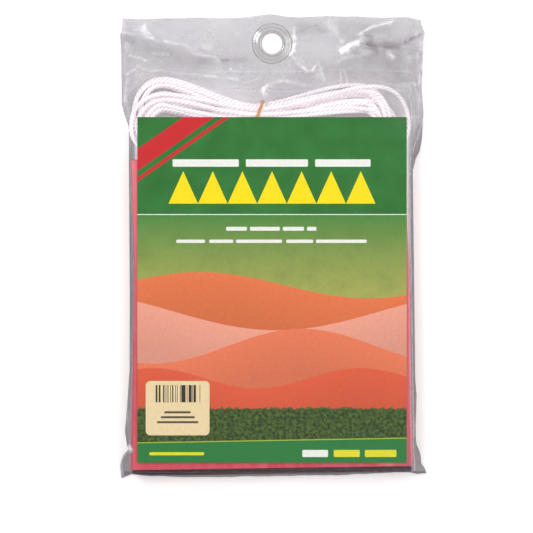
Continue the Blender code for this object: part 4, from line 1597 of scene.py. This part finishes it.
def card_material(settings):
    """Coated board, offset printed: a soft even gloss over the ink, and pale cut edges. Its
    print has a 2 mm grain, coarser than a real screen, to show, and mottles 17 mm wide.
    """
    made, tree, output = new_material("offset_printed_board")
    place = add(tree, "TexCoord").outputs["Object"]
    split = add(tree, "SeparateXYZ", {0: place})
    x, y = (
        add(
            tree,
            "Math",
            {0: split.outputs[axis], 1: 1000, 2: -1000 * CARD_LOW[axis]},
            operation="MULTIPLY_ADD",
        )
        for axis in (0, 1)
    )
    flat = add(tree, "CombineXYZ", {0: x, 1: y})
    grain = add(tree, "TexNoise", {"Vector": place, "Scale": 420, "Detail": 3, "Roughness": 0.6})
    mottle = add(tree, "TexNoise", {"Vector": place, "Scale": 60, "Detail": 3})

    def over(below, mask, colour):
        """A colour laid over another where the mask is 1."""
        top = colour if isinstance(colour, bpy.types.NodeSocket) else (*colour, 1)
        layer = add(tree, "Mix", {0: mask, 6: below, 7: top}, data_type="RGBA")
        return layer.outputs[2]

    def print_colour(name):
        """The linear colour of an ink of the print."""
        return linear(PRINT_COLOURS[name])

    # The header's green, paler in soft patches as a sponged ground is
    patch = add(tree, "MapRange", {"Value": mottle, "From Min": 0.35, "From Max": 0.7})
    ground = over((*settings.header, 1), patch, settings.sponged)
    lean = add(tree, "Math", {0: x, 1: -STRIPE_SLOPE, 2: y}, operation="MULTIPLY_ADD")
    for middle, half in STRIPES:
        stripe = add(tree, "Math", {0: lean, 1: middle, 2: half}, operation="COMPARE")
        ground = over(ground, stripe, settings.stripe)
    # The picture: open country in layers, under a hazy green sky
    up = add(
        tree,
        "MapRange",
        {"Value": y, "From Min": SKY_FOOT, "From Max": PICTURE_TOP, "To Min": 1, "To Max": 0},
    )
    picture = over((*print_colour("high sky"), 1), up, print_colour("low sky"))
    cloud = add(tree, "MapRange", {"Value": mottle, "From Min": 0.45, "From Max": 0.8})
    faint = add(tree, "Math", {0: cloud, 1: 0.35}, operation="MULTIPLY")
    picture = over(picture, faint, print_colour("cloud"))
    for level, swell, waves, phase, colour in HILLS:
        angle = add(
            tree,
            "Math",
            {0: x, 1: waves * math.tau / CARD_WIDTH, 2: phase},
            operation="MULTIPLY_ADD",
        )
        wave = add(tree, "Math", {0: angle}, operation="SINE")
        line = add(tree, "Math", {0: wave, 1: swell, 2: level}, operation="MULTIPLY_ADD")
        under = add(tree, "Math", {0: line, 1: y}, operation="SUBTRACT")
        mask = add(tree, "MapRange", {"Value": under, "From Min": -0.2, "From Max": 0.2})
        # Each hill darkens from its top down
        depth = add(tree, "MapRange", {"Value": under, "From Max": 30.0, "To Max": 0.5})
        deep = tuple(part * 0.66 for part in linear(colour))
        body = over((*linear(colour), 1), depth, deep)
        picture = over(picture, mask, body)
    ragged = add(
        tree, "Math", {0: grain, 1: GRASS_RAGGED, 2: GRASS_TOP}, operation="MULTIPLY_ADD"
    )
    grass = add(tree, "Math", {0: y, 1: ragged}, operation="LESS_THAN")
    blades = add(tree, "MapRange", {"Value": grain, "From Min": 0.4, "From Max": 0.65})
    turf = over((*print_colour("shaded grass"), 1), blades, print_colour("lit grass"))
    picture = over(picture, grass, turf)
    in_picture = add(tree, "Math", {0: y, 1: PICTURE_TOP}, operation="LESS_THAN")
    card = over(ground, in_picture, picture)
    rule = add(tree, "Math", {0: y, 1: PICTURE_TOP, 2: 0.3}, operation="COMPARE")
    card = over(card, rule, print_colour("white"))
    # Footer with its slanted hairline
    slant = add(tree, "Math", {0: x, 1: -FOOTER_SLOPE, 2: y}, operation="MULTIPLY_ADD")
    footer = add(tree, "Math", {0: slant, 1: FOOTER_TOP}, operation="LESS_THAN")
    card = over(card, footer, settings.footer)
    hairline = add(tree, "Math", {0: slant, 1: FOOTER_TOP + 0.1, 2: 0.35}, operation="COMPARE")
    card = over(card, hairline, print_colour("hairline"))
    # The label, plain bars, and a row of peaks
    for left, low, right, high, ink in PRINT_BARS:
        corner = LABEL_CORNER if ink == "cream" else BAR_CORNER
        mask = in_block(tree, flat, (left, low, right, high), corner)
        card = over(card, mask, print_colour(ink))
    left, low, right, high = PEAKS
    half = (right - left) / PEAK_COUNT / 2
    from_left = add(tree, "Math", {0: x, 1: left}, operation="SUBTRACT")
    climb = add(tree, "Math", {0: from_left, 1: half}, operation="PINGPONG")
    crest = add(tree, "Math", {0: climb, 1: (high - low) / half, 2: low}, operation="MULTIPLY_ADD")
    below = add(tree, "Math", {0: y, 1: crest}, operation="LESS_THAN")
    block = in_block(tree, flat, PEAKS)
    peaks = add(tree, "Math", {0: below, 1: block}, operation="MULTIPLY")
    card = over(card, peaks, settings.peaks)
    # A bar code of random bars
    steps = add(tree, "Math", {0: x, 1: BAR_CODE_STEP}, operation="DIVIDE")
    whole = add(tree, "Math", {0: steps}, operation="FLOOR")
    chance = add(tree, "TexWhiteNoise", {"W": whole}, noise_dimensions="1D")
    dark = add(tree, "Math", {0: chance, 1: 0.5}, operation="GREATER_THAN")
    block = in_block(tree, flat, BAR_CODE)
    bars = add(tree, "Math", {0: dark, 1: block}, operation="MULTIPLY")
    card = over(card, bars, print_colour("bar code"))
    # Ink grain, and bare board on the edges and the back
    tooth = add(tree, "MapRange", {"Value": grain, "To Min": 0.84, "To Max": 1.04})
    inked = add(
        tree,
        "Mix",
        {0: 1.0, 6: card, 7: tooth},
        data_type="RGBA",
        blend_type="MULTIPLY",
    ).outputs[2]
    printed = add(
        tree, "Math", {0: split.outputs[2], 1: CARD_HIGH.z - 0.00005}, operation="GREATER_THAN"
    )
    board = over((*settings.board, 1), printed, inked)
    rough = add(tree, "MapRange", {"Value": printed, "To Min": 0.8, "To Max": 0.42})
    bump = add(tree, "Bump", {"Height": grain, "Strength": 0.06, "Distance": 0.0001})
    shader = add(
        tree,
        "BsdfPrincipled",
        {
            "Base Color": board,
            "Roughness": rough,
            "Specular IOR Level": 0.22,
            "Normal": bump,
        },
    )
    tree.links.new(shader.outputs[0], output.inputs[0])
    return made


def leaflet_material(settings):
    """Uncoated offset paper: matt, faintly cloudy over 5 mm, with fibres half a millimetre
    long.
    """
    made, tree, output = new_material("uncoated_offset_paper")
    place = add(tree, "TexCoord").outputs["Object"]
    cloud = add(tree, "TexNoise", {"Vector": place, "Scale": 220, "Detail": 4})
    fibre = add(tree, "TexNoise", {"Vector": place, "Scale": 1800, "Detail": 2})
    shade = add(tree, "MapRange", {"Value": cloud, "To Min": 0.94, "To Max": 1.03})
    colour = add(
        tree,
        "Mix",
        {0: 1.0, 6: (*settings.paper, 1), 7: shade},
        data_type="RGBA",
        blend_type="MULTIPLY",
    )
    bump = add(tree, "Bump", {"Height": fibre, "Strength": 0.15, "Distance": 0.0001})
    shader = add(
        tree,
        "BsdfPrincipled",
        {"Base Color": colour.outputs[2], "Roughness": 0.85, "Normal": bump},
    )
    tree.links.new(shader.outputs[0], output.inputs[0])
    return made


class PACKEDTENT_OT_card(bpy.types.Operator):
    """Finishes the printed card and the leaflet behind it"""

    bl_idname = "packed_tent.card"
    bl_label = "Card and Leaflet"

    def execute(self, context):
        settings = context.scene.packed_tent.card
        finish_with(frame["nodes"]["insert_card"], card_material(settings))
        finish_with(frame["nodes"]["instruction_leaflet"], leaflet_material(settings))
        return {"FINISHED"}


# Stage

# The lights: their names, places, sizes and watts
LIGHTS = (
    ("key_softbox", (-0.75, 0.55, 1.25), (0.42, 0.6), 9),
    ("fill_scrim", (0.85, 0.1, 1.25), (0.8, 1.2), 8),
    ("back_scrim", (0.1, 1.05, 0.9), (1.4, 0.6), 4),
    ("low_scrim", (-0.2, -1.0, 0.95), (1.2, 0.5), 3),
)
SKY_STRENGTH = 0.32
FLOOR_GLOW = 0.2
FLOOR_SIZE = 6


def floor_material(settings):
    """A matt white sweep that looks white to the camera, still takes a shadow, and can be
    looked through from below.
    """
    made, tree, output = new_material("white_sweep")
    path = add(tree, "LightPath")
    seen = add(
        tree,
        "Math",
        {0: path.outputs["Is Camera Ray"], 1: path.outputs["Is Glossy Ray"]},
        operation="MAXIMUM",
    )
    seen = add(
        tree, "Math", {0: seen, 1: path.outputs["Is Transmission Ray"]}, operation="MAXIMUM"
    )
    lift = add(tree, "Math", {0: seen, 1: FLOOR_GLOW}, operation="MULTIPLY")
    matt = add(tree, "BsdfDiffuse", {"Color": (*settings.floor, 1)})
    glow = add(tree, "Emission", {"Color": (1, 1, 1, 1), "Strength": lift})
    both = add(tree, "AddShader", {0: matt, 1: glow})
    under = add(tree, "NewGeometry").outputs["Backfacing"]
    clear = add(tree, "BsdfTransparent", {"Color": (1, 1, 1, 1)})
    sweep = add(tree, "MixShader", {0: under, 1: both, 2: clear})
    tree.links.new(sweep.outputs[0], output.inputs[0])
    return made


def softbox(name, place, size, power):
    """An area light that faces the middle of the pouch."""
    data = bpy.data.lights.new(name, "AREA")
    data.shape = "RECTANGLE"
    data.size, data.size_y = size
    data.energy = power
    lamp = bpy.data.objects.new(name, data)
    lamp.location = place
    lamp.rotation_euler = (-Vector(place)).to_track_quat("-Z", "Y").to_euler()
    lamp.visible_camera = False
    bpy.context.collection.objects.link(lamp)


class PACKEDTENT_OT_stage(bpy.types.Operator):
    """Makes the floor, the lights and the camera over the pouch"""

    bl_idname = "packed_tent.stage"
    bl_label = "Stage"

    def execute(self, context):
        settings = context.scene.packed_tent.stage
        centre = on_photo(PHOTO_SIZE / 2, PHOTO_SIZE / 2)
        bpy.ops.object.select_all(action="DESELECT")
        bpy.ops.mesh.primitive_plane_add(size=FLOOR_SIZE, location=(0, 0, -FILM / 2))
        floor = context.object
        floor.name = "floor"
        finish_with(floor, floor_material(settings))
        lens = bpy.data.cameras.new("photo_camera")
        lens.sensor_width = 36
        lens.lens = lens.sensor_width * (settings.distance - FRONT_Z) / (PHOTO_SIZE * PIXEL)
        camera = bpy.data.objects.new("photo_camera", lens)
        camera.location = (*centre, settings.distance)
        context.collection.objects.link(camera)
        context.scene.camera = camera
        for light in LIGHTS:
            softbox(*light)
        world = bpy.data.worlds.new("even_light")
        world.use_nodes = True
        sky = world.node_tree.nodes["Background"]
        sky.inputs["Color"].default_value = (1, 1, 1, 1)
        sky.inputs["Strength"].default_value = SKY_STRENGTH
        context.scene.world = world
        context.scene.view_settings.view_transform = "Standard"
        return {"FINISHED"}


class PACKEDTENT_PT_panel(bpy.types.Panel):
    """Sizes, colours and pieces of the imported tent"""

    bl_idname = "PACKEDTENT_PT_panel"
    bl_label = "Packed Tent"
    bl_space_type = "VIEW_3D"
    bl_region_type = "UI"
    bl_category = "Packed Tent"

    def draw(self, context):
        settings = context.scene.packed_tent
        for operator, group in PIECES:
            box = self.layout.box()
            box.operator(operator.bl_idname)
            values = getattr(settings, group)
            for name in values.__annotations__:
                box.prop(values, name)


PIECES = (
    (PACKEDTENT_OT_stage, "stage"),
    (PACKEDTENT_OT_guy_line, "line"),
    (PACKEDTENT_OT_folded_tent, "tent"),
    (PACKEDTENT_OT_card, "card"),
    (PACKEDTENT_OT_eyelet, "eyelet"),
    (PACKEDTENT_OT_pouch, "pouch"),
)
CLASSES = (
    PouchSettings,
    TentSettings,
    LineSettings,
    EyeletSettings,
    CardSettings,
    StageSettings,
    PackedTentSettings,
    *(operator for operator, _ in PIECES),
    PACKEDTENT_PT_panel,
)


def register():
    for made in CLASSES:
        bpy.utils.register_class(made)
    bpy.types.Scene.packed_tent = PointerProperty(type=PackedTentSettings)


def unregister():
    del bpy.types.Scene.packed_tent
    for made in reversed(CLASSES):
        bpy.utils.unregister_class(made)


def main():
    register()
    bpy.ops.packed_tent.stage()
    bpy.ops.packed_tent.guy_line()
    bpy.ops.packed_tent.folded_tent()
    bpy.ops.packed_tent.card()
    bpy.ops.packed_tent.eyelet()
    bpy.ops.packed_tent.pouch()


if __name__ == "__main__":
    main()
